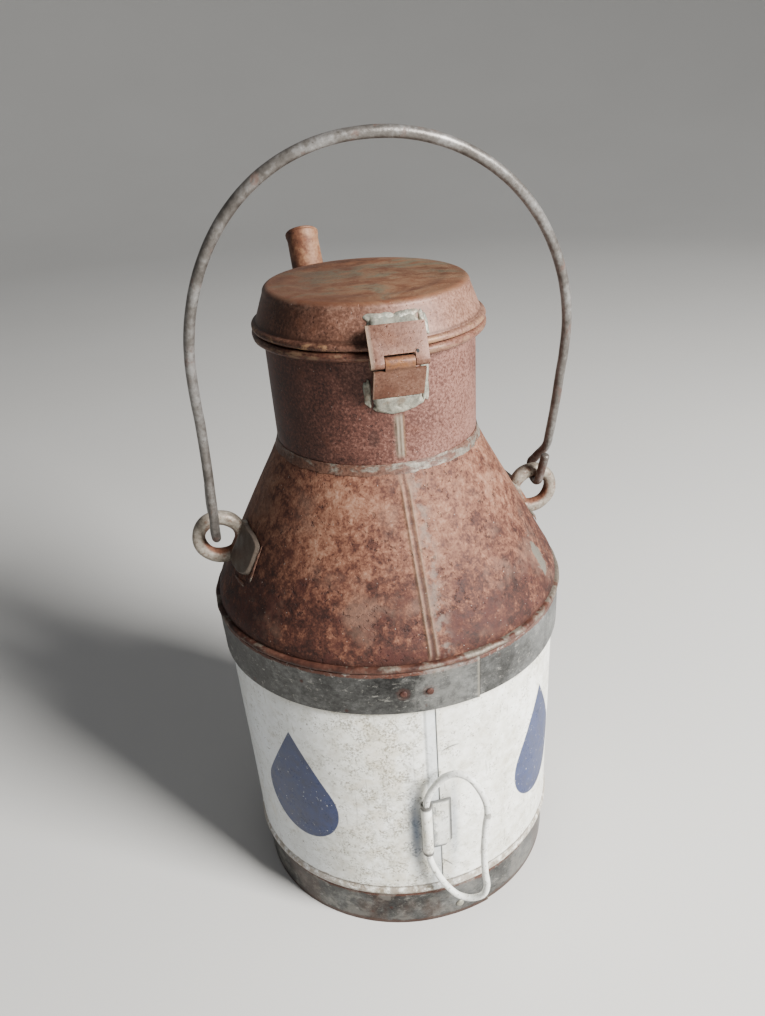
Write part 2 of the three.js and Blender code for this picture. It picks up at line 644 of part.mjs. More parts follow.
// A film of solder on the neck, and a lump that fills in behind the leaf and under its end.
function neckHingeSolder() {
  const inner = NECK_RADIUS + GAP;
  const bottom = HINGE_SOLDER_FOOT;
  const top = MOUTH_RING_HEIGHT - MOUTH_RING_ROLL - SOLDER_FILM;
  const film = wrapped(inner, inner + SOLDER_FILM, SPREAD, bottom, top);
  const past = NECK_LEAF_LENGTH + 1.3 * GAP;
  const lump = [
    [LUMP_BACK, leafPoint(-1, 2 * KNUCKLE_RADIUS, LEAF_SHEET + GAP)[1]],
    leafPoint(-1, 2 * KNUCKLE_RADIUS, LEAF_SHEET + GAP),
    leafPoint(-1, past, LEAF_SHEET + GAP),
    leafPoint(-1, past, GAP),
    [-inner - SOLDER_LEDGE, bottom],
    [LUMP_BACK, bottom],
  ];
  const half = NECK_LEAF_HALF_WIDTH - NECK_SOLDER_INSET;
  const body = turned(rectangle(0, bottom - PAST, inner, MOUTH_RING_HEIGHT));
  return film.add(across(lump, -half, half)).subtract(body);
}
add('neck_hinge_solder', geometryOf(neckHingeSolder()), SOLDER);

// ---------- eye lugs ----------
// A lug at +X: an eye of round bar in the upright plane of the axis, cut to the cone, and a
// flat tang that lies on the cone behind it. The left one is made there and turned half round.
function lug(reach) {
  const eye = new THREE.TorusGeometry(LUG_EYE_RADIUS, LUG_ROD_RADIUS, 12, 28);
  eye.rotateX(Math.PI / 2).translate(reach, 0, LUG_HEIGHT);
  const middle = LUG_HEIGHT - TANG_DROP;
  const [low, high] = [middle - TANG_HEIGHT / 2, middle + TANG_HEIGHT / 2];
  const skin = coneSkin(GAP, GAP + TANG_SHEET, low, high);
  const back = TANG_LENGTH - LUG_ROD_RADIUS;
  const outline = [
    [-LUG_ROD_RADIUS, low - PAST],
    [back - TANG_CORNER, low - PAST],
    [back, low + TANG_CORNER],
    [back, high - TANG_CORNER],
    [back - TANG_CORNER, high + PAST],
    [-LUG_ROD_RADIUS, high + PAST],
  ];
  const blank = across(outline, NECK_RADIUS, SHOULDER_RADIUS);
  return solid(eye).add(skin.intersect(blank)).subtract(coneEnvelope(GAP));
}
add('right_lug', geometryOf(lug(RIGHT_LUG_REACH)), ZINC);
add('left_lug', geometryOf(lug(LEFT_LUG_REACH)), ZINC).rotation.z = Math.PI;

// ---------- bail ----------
const LEFT = {
  side: -1,
  hook: LEFT_LUG_REACH + HOOK_OUT,
  radius: HOOK_CLOSE + LEFT_HOOK_SLACK,
  tip: LEFT_TIP_FLARE,
  leg: BAIL_LEFT_LEG,
  square: BAIL_LEFT_SQUARE,
};
const RIGHT = {
  side: 1,
  hook: RIGHT_LUG_REACH + HOOK_OUT,
  radius: HOOK_CLOSE + RIGHT_HOOK_SLACK,
  tip: RIGHT_TIP_FLARE,
  leg: BAIL_RIGHT_LEG,
  square: BAIL_RIGHT_SQUARE,
};
const HOOK_STEPS = 6;
const ARCH_STEPS = 9;

// From the free end of a hook, under its eye's bar and up the leg, then the half arch to the
// top. The free end is behind the plane at the left and ahead of it at the right.
function bailHalf({ side, hook, radius, tip, leg, square }) {
  const point = (out, off, height) => new THREE.Vector3(side * out, side * off, height);
  const points = [point(hook + tip, -radius, HOOK_TIP)];
  for (const [off, up] of arc(0, 0, radius, 180, 360, HOOK_STEPS)) {
    points.push(point(hook, off, up));
  }
  for (const [out, share, height] of leg) points.push(point(hook + out, share * radius, height));
  const half = hook + leg[leg.length - 1][0] - side * BAIL_APEX_X;
  for (const [x, y] of arc(0, 0, 1, 0, 90, ARCH_STEPS)) {
    const run = half * Math.max(x, 0) ** (2 / square);
    points.push(point(side * BAIL_APEX_X + run, 0, BAIL_SPRING + BAIL_RISE * y ** (2 / square)));
  }
  return points;
}
const bailRoute = [...bailHalf(LEFT), ...bailHalf(RIGHT).reverse().slice(1)];
const bail = add('bail_handle', geometryOf(wire(bailRoute, BAIL_WIRE_RADIUS, 170)), WIRE);
bail.position.z = PIVOT_HEIGHT;
bail.rotation.x = radians(BAIL_LEAN);

// ---------- spout ----------
// Everything under the level of the cone's foot, out past the spout.
function belowCone() {
  const reach = SHOULDER_RADIUS + 4 * SPOUT_FOOT_RADIUS;
  return turned(rectangle(0, ENVELOPE_FOOT, reach, CONE_BASE));
}

function spout() {
  const lip = SPOUT_TIP_RADIUS + SPOUT_LIP_PROUD;
  const bore = SPOUT_TIP_RADIUS - SPOUT_WALL;
  return alongSpout([
    [SPOUT_FOOT_RADIUS, SPOUT_END],
    [SPOUT_TIP_RADIUS, -SPOUT_LIP - SPOUT_LIP_ROUND],
    [lip, -SPOUT_LIP],
    [lip, -SPOUT_LIP_ROUND],
    [lip - SPOUT_LIP_ROUND, 0],
    [bore, 0],
    [bore, -SPOUT_LIP],
    [SPOUT_FOOT_RADIUS - SPOUT_WALL, SPOUT_END],
  ]).subtract(coneEnvelope(GAP).add(belowCone()));
}
add('spout_tube', geometryOf(spout()), RUST);

function spoutSolder() {
  const inner = SPOUT_FOOT_RADIUS + GAP;
  const outer = inner + SPOUT_SOLDER_SPREAD;
  const sleeve = alongSpout(rectangle(inner, SPOUT_END - 2 * outer, outer, SPOUT_FOOT / 2));
  const skin = coneSkin(GAP, GAP + SPOUT_SOLDER_THICK, CONE_BASE + 2 * GAP, CONE_TOP);
  return sleeve.intersect(skin);
}
add('spout_solder', geometryOf(spoutSolder()), SOLDER);

// ---------- tilt handle ----------
const TUBE_BORE = TILT_WIRE_RADIUS + 1.3 * GAP;
const TUBE_RADIUS = TUBE_BORE + TILT_TUBE_WALL;
const PLATE_BASE = BODY_RADIUS + BODY_SEAM_PROUD + GAP;
const tiltAxis = bearing(TILT_BEARING, PLATE_BASE + TUBE_RADIUS);

function tiltBracket() {
  const [low, high] = [TILT_MIDDLE - TILT_TUBE_LENGTH / 2, TILT_MIDDLE + TILT_TUBE_LENGTH / 2];
  const tube = upright(circle(tiltAxis.x, tiltAxis.y, TUBE_RADIUS, 16), low, high);
  const bore = upright(circle(tiltAxis.x, tiltAxis.y, TUBE_BORE, 16), low - PAST, high + PAST);
  const end = TILT_BEARING + degrees(TILT_PLATE_WIDTH / PLATE_BASE);
  const [plateLow, plateHigh] = [low + TILT_PLATE_INSET, high - TILT_PLATE_INSET];
  const face = PLATE_BASE + SHEET;
  const plate = wrapped(PLATE_BASE, face, [TILT_BEARING, end], plateLow, plateHigh);
  const corner = bearing(end, face, plateLow);
  const triangle = flat([
    [PAST, -PAST],
    [-TILT_PLATE_CORNER, -PAST],
    [PAST, TILT_PLATE_CORNER],
  ]);
  const chamfer = extruded(triangle, 4 * TUBE_RADIUS).rotateX(Math.PI / 2);
  chamfer.translate(corner.x, corner.y + 2 * TUBE_RADIUS, corner.z);
  return tube.add(plate).subtract(bore).subtract(solid(chamfer));
}
add('tilt_handle_bracket', geometryOf(tiltBracket()), PAINT);

const tiltPoints = TILT_ROUTE.map(([out, up]) => new THREE.Vector3(out, 0, up));
const loopGeometry = geometryOf(wire(tiltPoints, TILT_WIRE_RADIUS, 64));
const tiltLoop = add('tilt_handle_loop', loopGeometry, PAINT);
tiltLoop.position.set(tiltAxis.x, tiltAxis.y, TILT_MIDDLE);
tiltLoop.rotation.z = radians(TILT_BEARING - TILT_TURN_OUT);

export default can;
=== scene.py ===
"""Looks of an old sheet-metal motor oil can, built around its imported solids.

Lengths are millimetres until a mesh is made, then metres. The can's axis is Z, its front is -Y,
and a bearing is an angle in degrees from the front towards +X.
"""

import math

import bmesh
import bpy
import numpy as np
from mathutils import Matrix, Vector


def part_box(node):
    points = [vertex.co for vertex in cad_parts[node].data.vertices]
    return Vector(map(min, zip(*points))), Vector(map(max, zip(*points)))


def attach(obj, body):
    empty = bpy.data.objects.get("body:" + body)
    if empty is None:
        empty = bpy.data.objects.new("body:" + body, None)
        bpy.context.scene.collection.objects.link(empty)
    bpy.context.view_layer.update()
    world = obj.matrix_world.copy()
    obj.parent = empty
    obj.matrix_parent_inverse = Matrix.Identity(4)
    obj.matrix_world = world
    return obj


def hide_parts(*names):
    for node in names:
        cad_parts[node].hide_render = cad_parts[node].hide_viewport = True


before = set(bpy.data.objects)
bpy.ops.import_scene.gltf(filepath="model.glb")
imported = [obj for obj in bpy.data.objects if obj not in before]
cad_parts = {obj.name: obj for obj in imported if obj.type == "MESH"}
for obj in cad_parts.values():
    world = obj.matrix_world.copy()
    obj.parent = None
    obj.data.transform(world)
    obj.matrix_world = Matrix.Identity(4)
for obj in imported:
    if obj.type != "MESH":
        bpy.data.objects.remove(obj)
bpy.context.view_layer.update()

# ---------- sizes, as the solids have them ----------
SHEET = 1.2
GAP = 0.3
BODY_RADIUS = 112.2
BODY_BOTTOM = 34.0
BODY_TOP = 230.6
BASE_RADIUS = 110.7
BASE_TOP = 46.0
BAND_INNER = 112.5
BAND_RADIUS = 115.0
BAND_BOTTOM = 200.8
SEAM_RADIUS = 116.1
SEAM_BASE = 230.9
SEAM_TOP = 234.9
CONE_BASE = 235.2
CONE_TOP = 334.2
SHOULDER_RADIUS = 112.8
SHOULDER_BEND = 21.0
NECK_RADIUS = 61.0
NECK_FOOT = 326.0
NECK_LIP = 409.0
RING_RADIUS = 67.5
RING_HEIGHT = 397.8
RING_ROLL = 2.5
LID_RADIUS = 64.4
LID_TOP_RADIUS = 58.6
LID_TOP = 423.0
LID_BASE = 400.75
LID_CORNER = 4.0
LID_ROLL = 1.75
LID_SHEET = 1.0
PIN_DEPTH = 72.6
PIN_HEIGHT = 396.5
LUG_HEIGHT = 277.8
LEFT_EYE_REACH = 105.6
RIGHT_EYE_REACH = 103.2
EYE_RADIUS = 13.2
ROD_RADIUS = 4.4
PIVOT_HEIGHT = LUG_HEIGHT + EYE_RADIUS
BAIL_LEAN = math.radians(16)
WIRE_RADIUS = 2.9
SPOUT_TURN = math.radians(182)
SPOUT_LEAN = math.radians(31.5)
SPOUT_FOOT_REACH = 106.0
SPOUT_LENGTH = 191.4
SPOUT_FOOT_RADIUS = 14.0
SPOUT_TIP_RADIUS = 11.7
TILT_WIRE_RADIUS = 2.3
TILT_BEARING = math.radians(-4.65)
TILT_REACH = 117.0
TILT_MIDDLE = 102.0
TILT_TURN_OUT = math.radians(25)

MM = 0.001
rng = np.random.default_rng(7)


# ---------- arrays of points ----------
def ease(x, low, high):
    """Nothing below low, one above high, and a cubic ease between them."""
    t = np.clip((x - low) / (high - low), 0, 1)
    return t * t * (3 - 2 * t)


def hump(x, middle, width):
    """A bell curve of height one."""
    return np.exp(-(((x - middle) / width) ** 2))


def quads(rows, columns, looped):
    """Corner numbers of the faces of a grid of points. Its columns always close on themselves,
    and its rows do where they are looped."""
    r = np.arange(rows if looped else rows - 1)[:, None]
    c = np.arange(columns)[None, :]
    across, down = (c + 1) % columns, (r + 1) % rows
    corners = [r * columns + c, r * columns + across, down * columns + across, down * columns + c]
    return np.stack(np.broadcast_arrays(*corners), -1).reshape(-1, 4)


def make(name, shells, smooth_angle=40):
    """A mesh of one or more shells, each a grid of points and whether its rows are looped."""
    points, faces, start = [], [], 0
    for grid, looped in shells:
        rows, columns = grid.shape[:2]
        points.append(grid.reshape(-1, 3))
        faces.append(quads(rows, columns, looped) + start)
        start += rows * columns
    points = np.concatenate(points) * MM
    faces = np.concatenate(faces)
    mesh = bpy.data.meshes.new(name)
    mesh.vertices.add(len(points))
    mesh.vertices.foreach_set("co", points.ravel())
    mesh.loops.add(faces.size)
    mesh.loops.foreach_set("vertex_index", faces.ravel())
    mesh.polygons.add(len(faces))
    mesh.polygons.foreach_set("loop_start", np.arange(0, faces.size, 4))
    mesh.update(calc_edges=True)
    return finished(name, mesh, smooth_angle)


def finished(name, mesh, smooth_angle):
    """Merges doubled points, turns the faces outwards, and smooths all but the sharp edges."""
    work = bmesh.new()
    work.from_mesh(mesh)
    bmesh.ops.remove_doubles(work, verts=work.verts, dist=2e-6)
    bmesh.ops.recalc_face_normals(work, faces=work.faces)
    work.to_mesh(mesh)
    work.free()
    mesh.shade_smooth()
    mesh.set_sharp_from_angle(angle=math.radians(smooth_angle))
    piece = bpy.data.objects.new(name, mesh)
    bpy.context.scene.collection.objects.link(piece)
    return piece


def rounded(outline, radius, steps=3):
    """A closed outline whose corners are cut by short quadratic curves."""
    outline = np.asarray(outline, float)
    result = []
    for i, corner in enumerate(outline):
        before, after = outline[i - 1] - corner, outline[(i + 1) % len(outline)] - corner
        a = corner + before * min(0.45, radius / np.hypot(*before))
        b = corner + after * min(0.45, radius / np.hypot(*after))
        for t in np.linspace(0, 1, steps + 1):
            result.append((1 - t) ** 2 * a + 2 * t * (1 - t) * corner + t * t * b)
    return np.array(result)


def arc(x, y, radius, start, end, count):
    """Points on a circle about [x, y], from one angle in degrees to another."""
    a = np.radians(np.linspace(start, end, count))
    return np.stack([x + radius * np.cos(a), y + radius * np.sin(a)], -1)


def hoop(inner, outer, low, high, corner):
    """The outline of a wall between two radii and two heights, with its corners eased."""
    return rounded([[inner, low], [outer, low], [outer, high], [inner, high]], corner)


def divided(path, step, closed=True):
    """The same path with more points, so that none are farther apart than a step."""
    path = np.asarray(path, float)
    ends = np.roll(path, -1, 0) if closed else path[1:]
    result = []
    for a, b in zip(path, ends):
        count = max(1, int(np.ceil(np.hypot(*(b - a)) / step)))
        result.extend(a + (b - a) * k / count for k in range(count))
    if not closed:
        result.append(path[-1])
    return np.array(result)


def bearings(count, dense=()):
    """Bearings all round, with more of them between each pair of dense limits."""
    result = np.linspace(-180, 180, count, endpoint=False)
    for low, high, step in dense:
        result = result[(result < low) | (result > high)]
        result = np.concatenate([result, np.arange(low, high, step)])
    return np.sort(result)


def turned(outline, around, move=None):
    """An outline of [radius, height] carried round Z. move gives how far each point moves out."""
    radius = outline[:, 0][:, None] + np.zeros(len(around))
    height = outline[:, 1][:, None] + np.zeros(len(around))
    turn = np.zeros_like(radius) + around
    if move is not None:
        extra = move(turn, height, radius)
        out, up = (extra, 0) if extra.ndim == 2 else extra
        radius, height = radius + out, height + up
    a = np.radians(turn)
    return np.stack([radius * np.sin(a), -radius * np.cos(a), height], -1)


def spline(points, step):
    """A centripetal Catmull-Rom curve through the points, at about even steps."""
    points = np.asarray(points, float)
    first, last = 2 * points[0] - points[1], 2 * points[-1] - points[-2]
    all_points = np.vstack([first, points, last])
    knots = np.concatenate([[0], np.cumsum(np.linalg.norm(np.diff(all_points, axis=0), axis=1) ** 0.5)])
    spans = zip(knots[1:-2], knots[2:-1])
    t = [np.linspace(low, high, 24, endpoint=False) for low, high in spans]
    t = np.concatenate([*t, [knots[-2]]])
    seat = np.clip(np.searchsorted(knots, t, "right") - 1, 1, len(points) - 1)
    k = [knots[seat + d][:, None] for d in (-1, 0, 1, 2)]
    p = [all_points[seat + d] for d in (-1, 0, 1, 2)]
    s = t[:, None]
    a1 = (k[1] - s) / (k[1] - k[0]) * p[0] + (s - k[0]) / (k[1] - k[0]) * p[1]
    a2 = (k[2] - s) / (k[2] - k[1]) * p[1] + (s - k[1]) / (k[2] - k[1]) * p[2]
    a3 = (k[3] - s) / (k[3] - k[2]) * p[2] + (s - k[2]) / (k[3] - k[2]) * p[3]
    b1 = (k[2] - s) / (k[2] - k[0]) * a1 + (s - k[0]) / (k[2] - k[0]) * a2
    b2 = (k[3] - s) / (k[3] - k[1]) * a2 + (s - k[1]) / (k[3] - k[1]) * a3
    curve = (k[2] - s) / (k[2] - k[1]) * b1 + (s - k[1]) / (k[2] - k[1]) * b2
    along = np.concatenate([[0], np.cumsum(np.linalg.norm(np.diff(curve, axis=0), axis=1))])
    even = np.linspace(0, along[-1], max(3, int(along[-1] / step)))
    return np.stack([np.interp(even, along, curve[:, i]) for i in range(3)], -1)


def swept(path, radius, sides=20, normal=(0, 0, 1), dome=0.6, wear=0.0):
    """A round section carried along a path, closed at each end by a dome.

    The section's frame comes from one fixed normal direction, made square to the path. wear
    makes the section uneven with a few slow waves along the path and round the section.
    """
    path = np.asarray(path, float)
    tangent = np.gradient(path, axis=0)
    tangent /= np.linalg.norm(tangent, axis=1)[:, None]
    side = np.cross(tangent, np.asarray(normal, float))
    side /= np.linalg.norm(side, axis=1)[:, None]
    up = np.cross(side, tangent)
    cap = np.linspace(0, math.pi / 2, 6)[:-1]
    share = np.concatenate([np.sin(cap), np.ones(len(path)), np.sin(cap)[::-1]])
    shift = np.concatenate([-np.cos(cap), np.zeros(len(path)), np.cos(cap)[::-1]]) * radius * dome
    seat = np.concatenate([np.zeros(5, int), np.arange(len(path)), np.full(5, len(path) - 1)])
    around = np.linspace(0, 2 * math.pi, sides, endpoint=False)
    along = np.arange(len(seat))[:, None]
    uneven = 1 + wear * (
        np.sin(along * 0.21 + 2 * around + rng.uniform(0, 6))
        + np.sin(along * 0.083 + around + rng.uniform(0, 6))
        + np.sin(along * 0.47 - 3 * around + rng.uniform(0, 6)) * 0.5
    )
    ring = side[seat][:, None] * np.cos(around)[:, None] + up[seat][:, None] * np.sin(around)[:, None]
    middle = path[seat] + tangent[seat] * shift[:, None]
    return middle[:, None] + ring * (radius * share[:, None] * uneven)[..., None]


def placed(points, matrix):
    """Points moved by a 4 by 4 matrix."""
    matrix = np.array(matrix)
    return points @ matrix[:3, :3].T + matrix[:3, 3]


# ---------- the cone's outline, and places on it ----------
def cone_path(lift=0.0, steps=14):
    """Outside of the shoulder and cone from its foot to the neck, moved out square to itself."""
    middle = np.array([SHOULDER_RADIUS - SHOULDER_BEND, CONE_BASE])
    top = np.array([NECK_RADIUS, CONE_TOP])
    run, rise = top - middle
    slope = math.atan2(rise, run) - math.acos(SHOULDER_BEND / math.hypot(run, rise))
    a = np.linspace(0, slope, steps)
    bend = middle + (SHOULDER_BEND + lift) * np.stack([np.cos(a), np.sin(a)], -1)
    out = np.array([math.cos(slope), math.sin(slope)])
    share = (bend[-1][0] - lift * out[0] - NECK_RADIUS - 1.5) / (bend[-1][0] - lift * out[0] - NECK_RADIUS)
    end = bend[-1] + (top + lift * out - bend[-1]) * share
    return np.vstack([bend, end]), out


CONE_OUT = cone_path()[1]


def cone_height(radius, lift=0.0):
    """Height of the cone's outside, moved out by lift, at a distance from the axis."""
    path, _ = cone_path(lift)
    return np.interp(-radius, -path[:, 0], path[:, 1])


def cone_radius(height, lift=0.0):
    """Distance from the axis to the cone's outside, moved out by lift, at a height."""
    path, _ = cone_path(lift)
    return np.interp(height, path[:, 1], path[:, 0])


# ---------- body and bands ----------
SEAM_LEFT, SEAM_RIGHT = -3.1, 0.1


def body_move(turn, height, radius):
    """Slow waves in the wall, and a folded seam up the front: a flat strip with a steep right
    edge beside a narrow groove."""
    outside = radius > BODY_RADIUS - 0.3
    strip = ease(turn, SEAM_LEFT - 0.7, SEAM_LEFT + 0.5)
    strip = strip * (1 - ease(turn, SEAM_RIGHT - 0.12, SEAM_RIGHT + 0.02))
    groove = hump(turn, SEAM_RIGHT + 0.16, 0.14)
    in_reach = ease(height, BODY_BOTTOM + 9, BODY_BOTTOM + 13)
    dent = 0.25 * hump(height, 196.5, 1.1)
    fold = 0.75 * in_reach * strip - 0.45 * in_reach * groove
    return outside * (fold - dent) + BODY_WAVES(turn, height)


def body_waves():
    """The body's slow unevenness, the same for its outside and inside."""
    phases = rng.uniform(0, 2 * math.pi, 6)

    def value(turn, height):
        a = np.radians(turn)
        total = sum(np.sin((k + 1) * a + 0.011 * (k + 1) * height + p) for k, p in enumerate(phases))
        middle = ease(height, BODY_BOTTOM, BODY_BOTTOM + 25) * (1 - ease(height, 190, 200))
        return 0.09 * total * middle - 0.1

    return value


BODY_WAVES = body_waves()


def body_wall():
    """A rolled sheet with a half-round bead near its lower edge, turned about the axis."""
    t = np.linspace(-1, 1, 13)
    bead = np.stack([BODY_RADIUS + 1.3 * np.cos(t * math.pi / 2), BODY_BOTTOM + 3.4 * (1 + t)], -1)
    wall = divided([[BODY_RADIUS, BODY_BOTTOM + 7.2], [BODY_RADIUS, BODY_TOP]], 2.2, closed=False)
    inner = BODY_RADIUS - SHEET
    inside = divided([[inner, BODY_TOP], [inner, BODY_BOTTOM]], 12, closed=False)
    around = bearings(400, [(-5.2, 1.6, 0.1)])
    return turned(np.vstack([bead, wall, inside]), around, body_move)


def lap(low, high, turn):
    """The rise of a band's overlap: slow from its hidden start, and a sharp step at its end."""
    return np.clip((turn - low) / (high - low), 0, 1) * (1 - ease(turn, high, high + 0.09))


def base_move(turn, height, radius):
    """The base band's overlap, small knocks, and a rim that isn't quite true."""
    outside = radius > BASE_RADIUS - 0.5
    knocks = 0.25 * np.sin(np.radians(turn * 9) + height * 0.13) * np.sin(np.radians(turn * 4 + 40))
    return outside * (lap(2, 19, turn) + knocks * ease(height, 0, 3) * (1 - ease(height, 26, 33)) - 0.12)


def base_band():
    """A hoop with an eased outer edge, tucked up inside the body wall."""
    inner = BASE_RADIUS - SHEET
    outline = divided(hoop(inner, BASE_RADIUS, 0, BASE_TOP, 0.5), 3)
    return turned(outline, bearings(420, [(18.2, 19.6, 0.06)]), base_move)


def bottom_plate():
    """A disc with its edge turned up, a shallow ring pressed in it."""
    radius = BASE_RADIUS - SHEET - GAP
    base, top, bend = 2.5, 12.5, 1.2
    floor_top = base + SHEET
    corner = arc(radius - bend, base + bend, bend, -90, 0, 5)
    under = [[0, base], [70, base], [72, base + 0.8], [78, base + 0.8], [80, base]]
    inner = radius - SHEET
    over = [[radius, top], [inner, top], [inner, floor_top + 1], [inner - 1, floor_top], [0, floor_top]]
    return turned(np.vstack([under, corner, over]), bearings(160))


def band_move(turn, height, radius):
    """The top band's overlap, with shallow knocks along its lower edge."""
    outside = radius > BAND_RADIUS - 0.6
    knocks = 0.14 * np.sin(np.radians(turn * 7 + 30)) * np.sin(np.radians(turn * 3) + height * 0.11)
    curl = 0.35 * hump(turn, 14.3, 1.2) * (1 - ease(height, 201, 206)) * (turn < 14.35)
    return outside * (lap(-14, 14.3, turn) * 0.95 + knocks + curl - 0.15)


def top_band():
    """A doubled hoop with eased edges round the top of the body."""
    outline = divided(hoop(BAND_INNER, BAND_RADIUS, BAND_BOTTOM, BODY_TOP, 0.7), 2.2)
    return turned(outline, bearings(420, [(13.6, 14.9, 0.06)]), band_move)


def seam_move(turn, height, radius):
    """The folded seam's rim is hammered: it swells and pinches a little all the way round."""
    outside = radius > BODY_RADIUS + 0.5
    knocks = 0.22 * np.sin(np.radians(turn * 31)) * np.sin(np.radians(turn * 5 + 20))
    return outside * (knocks - 0.25)


def shoulder_seam():
    """A rolled rim between the body and the cone."""
    inner = SHOULDER_RADIUS - SHEET
    roll = (SEAM_TOP - SEAM_BASE) / 2
    nose = arc(SEAM_RADIUS - roll, SEAM_BASE + roll, roll, -90, 90, 11)
    outline = np.vstack([nose, [[inner, SEAM_TOP], [inner, SEAM_BASE]]])
    return turned(outline, bearings(540), seam_move)


def cone_move(turn, height, radius):
    """Two narrow ridges with a groove between them down the front, and slow hammered waves."""
    sideways = radius * np.radians(turn - 0.6)
    outside = radius > cone_radius(height, -0.6)
    end = ease(height, CONE_BASE + 1, CONE_BASE + 4) * (1 - ease(height, 322, 327))
    ridges = 0.95 * hump(sideways, -2.3, 1.0) + 0.95 * hump(sideways, 2.0, 1.1)
    ridges = ridges + 0.3 * hump(sideways, 0, 3.4)
    a = np.radians(turn)
    slow = np.sin(3 * a + 0.05 * height) + np.sin(5 * a - 0.03 * height + 1)
    slow = slow + np.sin(8 * a + 0.09 * height + 2)
    middle = ease(height, CONE_BASE, CONE_BASE + 20) * (1 - ease(height, 315, 330))
    wave = 0.13 * slow * middle - 0.12
    return outside * end * ridges * 0.85 + wave * end


def shoulder_cone():
    """A bent and rolled cone of sheet from the seam up to the neck."""
    outer = cone_path(0.0)[0]
    inner = cone_path(-SHEET)[0]
    outline = np.vstack([divided(outer, 2.0, closed=False), divided(inner[::-1], 8, closed=False)])
    around = bearings(400, [(-4.5, 5.5, 0.12)])
    return turned(outline, around, cone_move)


# ---------- neck and lid ----------
def neck_move(turn, height, radius):
    """A narrow soldered seam up the front of the neck, and slow waves."""
    outside = radius > NECK_RADIUS - 0.4
    sideways = radius * np.radians(turn)
    strip = ease(height, CONE_TOP + 4, CONE_TOP + 8) * (1 - ease(height, 361, 364))
    uneven = 0.75 + 0.25 * np.sin(height * 0.55)
    ridge = 0.62 * hump(sideways, -0.9, 0.8) * uneven + 0.55 * hump(sideways, 1.3, 0.9)
    a = np.radians(turn)
    return outside * strip * ridge + 0.08 * np.sin(4 * a + 0.04 * height) - 0.05


def neck_tube():
    """A plain tube with eased edges."""
    inner = NECK_RADIUS - SHEET
    outline = divided(hoop(inner, NECK_RADIUS, NECK_FOOT, NECK_LIP, 0.4), 1.8)
    return turned(outline, bearings(300, [(-4, 4, 0.2)]), neck_move)


def solder_move(turn, height, radius):
    """Solder laid by hand: it swells, thins and runs down in places."""
    a = np.radians(turn)
    outside = radius > NECK_RADIUS + 0.6
    lumps = np.sin(23 * a) * np.sin(7 * a + 1) + 0.6 * np.sin(51 * a + 2) * np.sin(5 * a)
    lumps = lumps + 0.4 * np.sin(11 * a + 0.5)
    runs = hump(turn, -8, 7) + 0.5 * hump(turn, 52, 14)
    drop = 0.4 * lumps + 1.2 * runs * (height < CONE_TOP - 2)
    return np.stack([outside * (0.18 * lumps + 0.1), outside * -0.8 * drop])


def neck_solder():
    """A fillet in the corner between the cone and the neck."""
    inner = NECK_RADIUS + GAP
    foot = inner + 1.8
    lift = 0.25 / CONE_OUT[1]
    a = np.linspace(0, 1, 7)[1:-1]
    low = np.array([foot, cone_height(foot) + lift])
    high = np.array([inner, CONE_TOP + 2.4])
    corner = np.array([inner + 0.7, CONE_TOP - 0.9])
    curve = [(1 - t) ** 2 * low + 2 * t * (1 - t) * corner + t * t * high for t in a]
    outline = np.vstack([[inner, cone_height(inner) + lift], low, curve, high])
    return turned(outline, bearings(540), solder_move)


def ring_move(turn, height, radius):
    """The rolled ring is a little out of true."""
    a = np.radians(turn)
    return (radius > NECK_RADIUS + 1) * (0.16 * np.sin(17 * a) * np.sin(3 * a) + 0.1 * np.sin(5 * a) - 0.2)


def mouth_ring():
    """A half-round ring on a short web."""
    nose = arc(RING_RADIUS - RING_ROLL, RING_HEIGHT, RING_ROLL, -90, 90, 15)
    inner = NECK_RADIUS + GAP
    web = [(inner + 1.5, 1.9), (inner, 1.5), (inner, -1.5), (inner + 1.5, -1.9)]
    outline = np.vstack([nose, [[radius, RING_HEIGHT + up] for radius, up in web]])
    return turned(outline, bearings(360), ring_move)


def lid_move(turn, height, radius):
    """Slow waves round the side, and a rim that dips and swells."""
    a = np.radians(turn)
    low = 1 - ease(height, LID_BASE + 3, LID_BASE + 8)
    knocks = 0.12 * np.sin(13 * a) * np.sin(4 * a + 1)
    return (radius > 20) * (knocks * low + 0.12 * np.sin(3 * a + 1) * (1 - low) - 0.08)


def lid_shell():
    """A shallow cap: rolled rim, leaning side, bent corner, and a top that dishes and crowns."""
    roll = arc(LID_RADIUS + 0.9, LID_BASE + LID_ROLL, LID_ROLL, -90, 75, 14)
    side_base, side_top = LID_BASE + 2 * LID_ROLL, LID_TOP - LID_CORNER
    flat = LID_TOP_RADIUS - LID_CORNER
    side = divided([[LID_RADIUS, side_base + 0.3], [LID_TOP_RADIUS, side_top]], 1.2, closed=False)
    corner = arc(flat, side_top, LID_CORNER, 18, 90, 9)
    r = np.linspace(flat - 1, 0, 40)
    dish = 0.5 * hump(r, 46, 4) - 0.55 * hump(r, 38, 8) + 0.3 * hump(r, 0, 26)
    top = np.stack([r, LID_TOP + 0.05 + dish * 0.8], -1)
    outside = np.vstack([roll, side, corner, top])
    inner = LID_RADIUS - LID_SHEET
    under = np.array([
        [0, LID_TOP - LID_SHEET - 0.2],
        [flat, LID_TOP - LID_SHEET - 0.2],
        [LID_TOP_RADIUS - LID_SHEET, side_top],
        [inner, side_base],
        [inner, LID_BASE + 0.6],
    ])
    return turned(np.vstack([outside, divided(under, 9, closed=False)]), bearings(320), lid_move)


# ---------- solder laid on the can ----------
# waves round a solder lump's outline, each its number of turns and its strength
WAVER = ((3, 0.5), (5, 0.4), (8, 0.16), (13, 0.08))


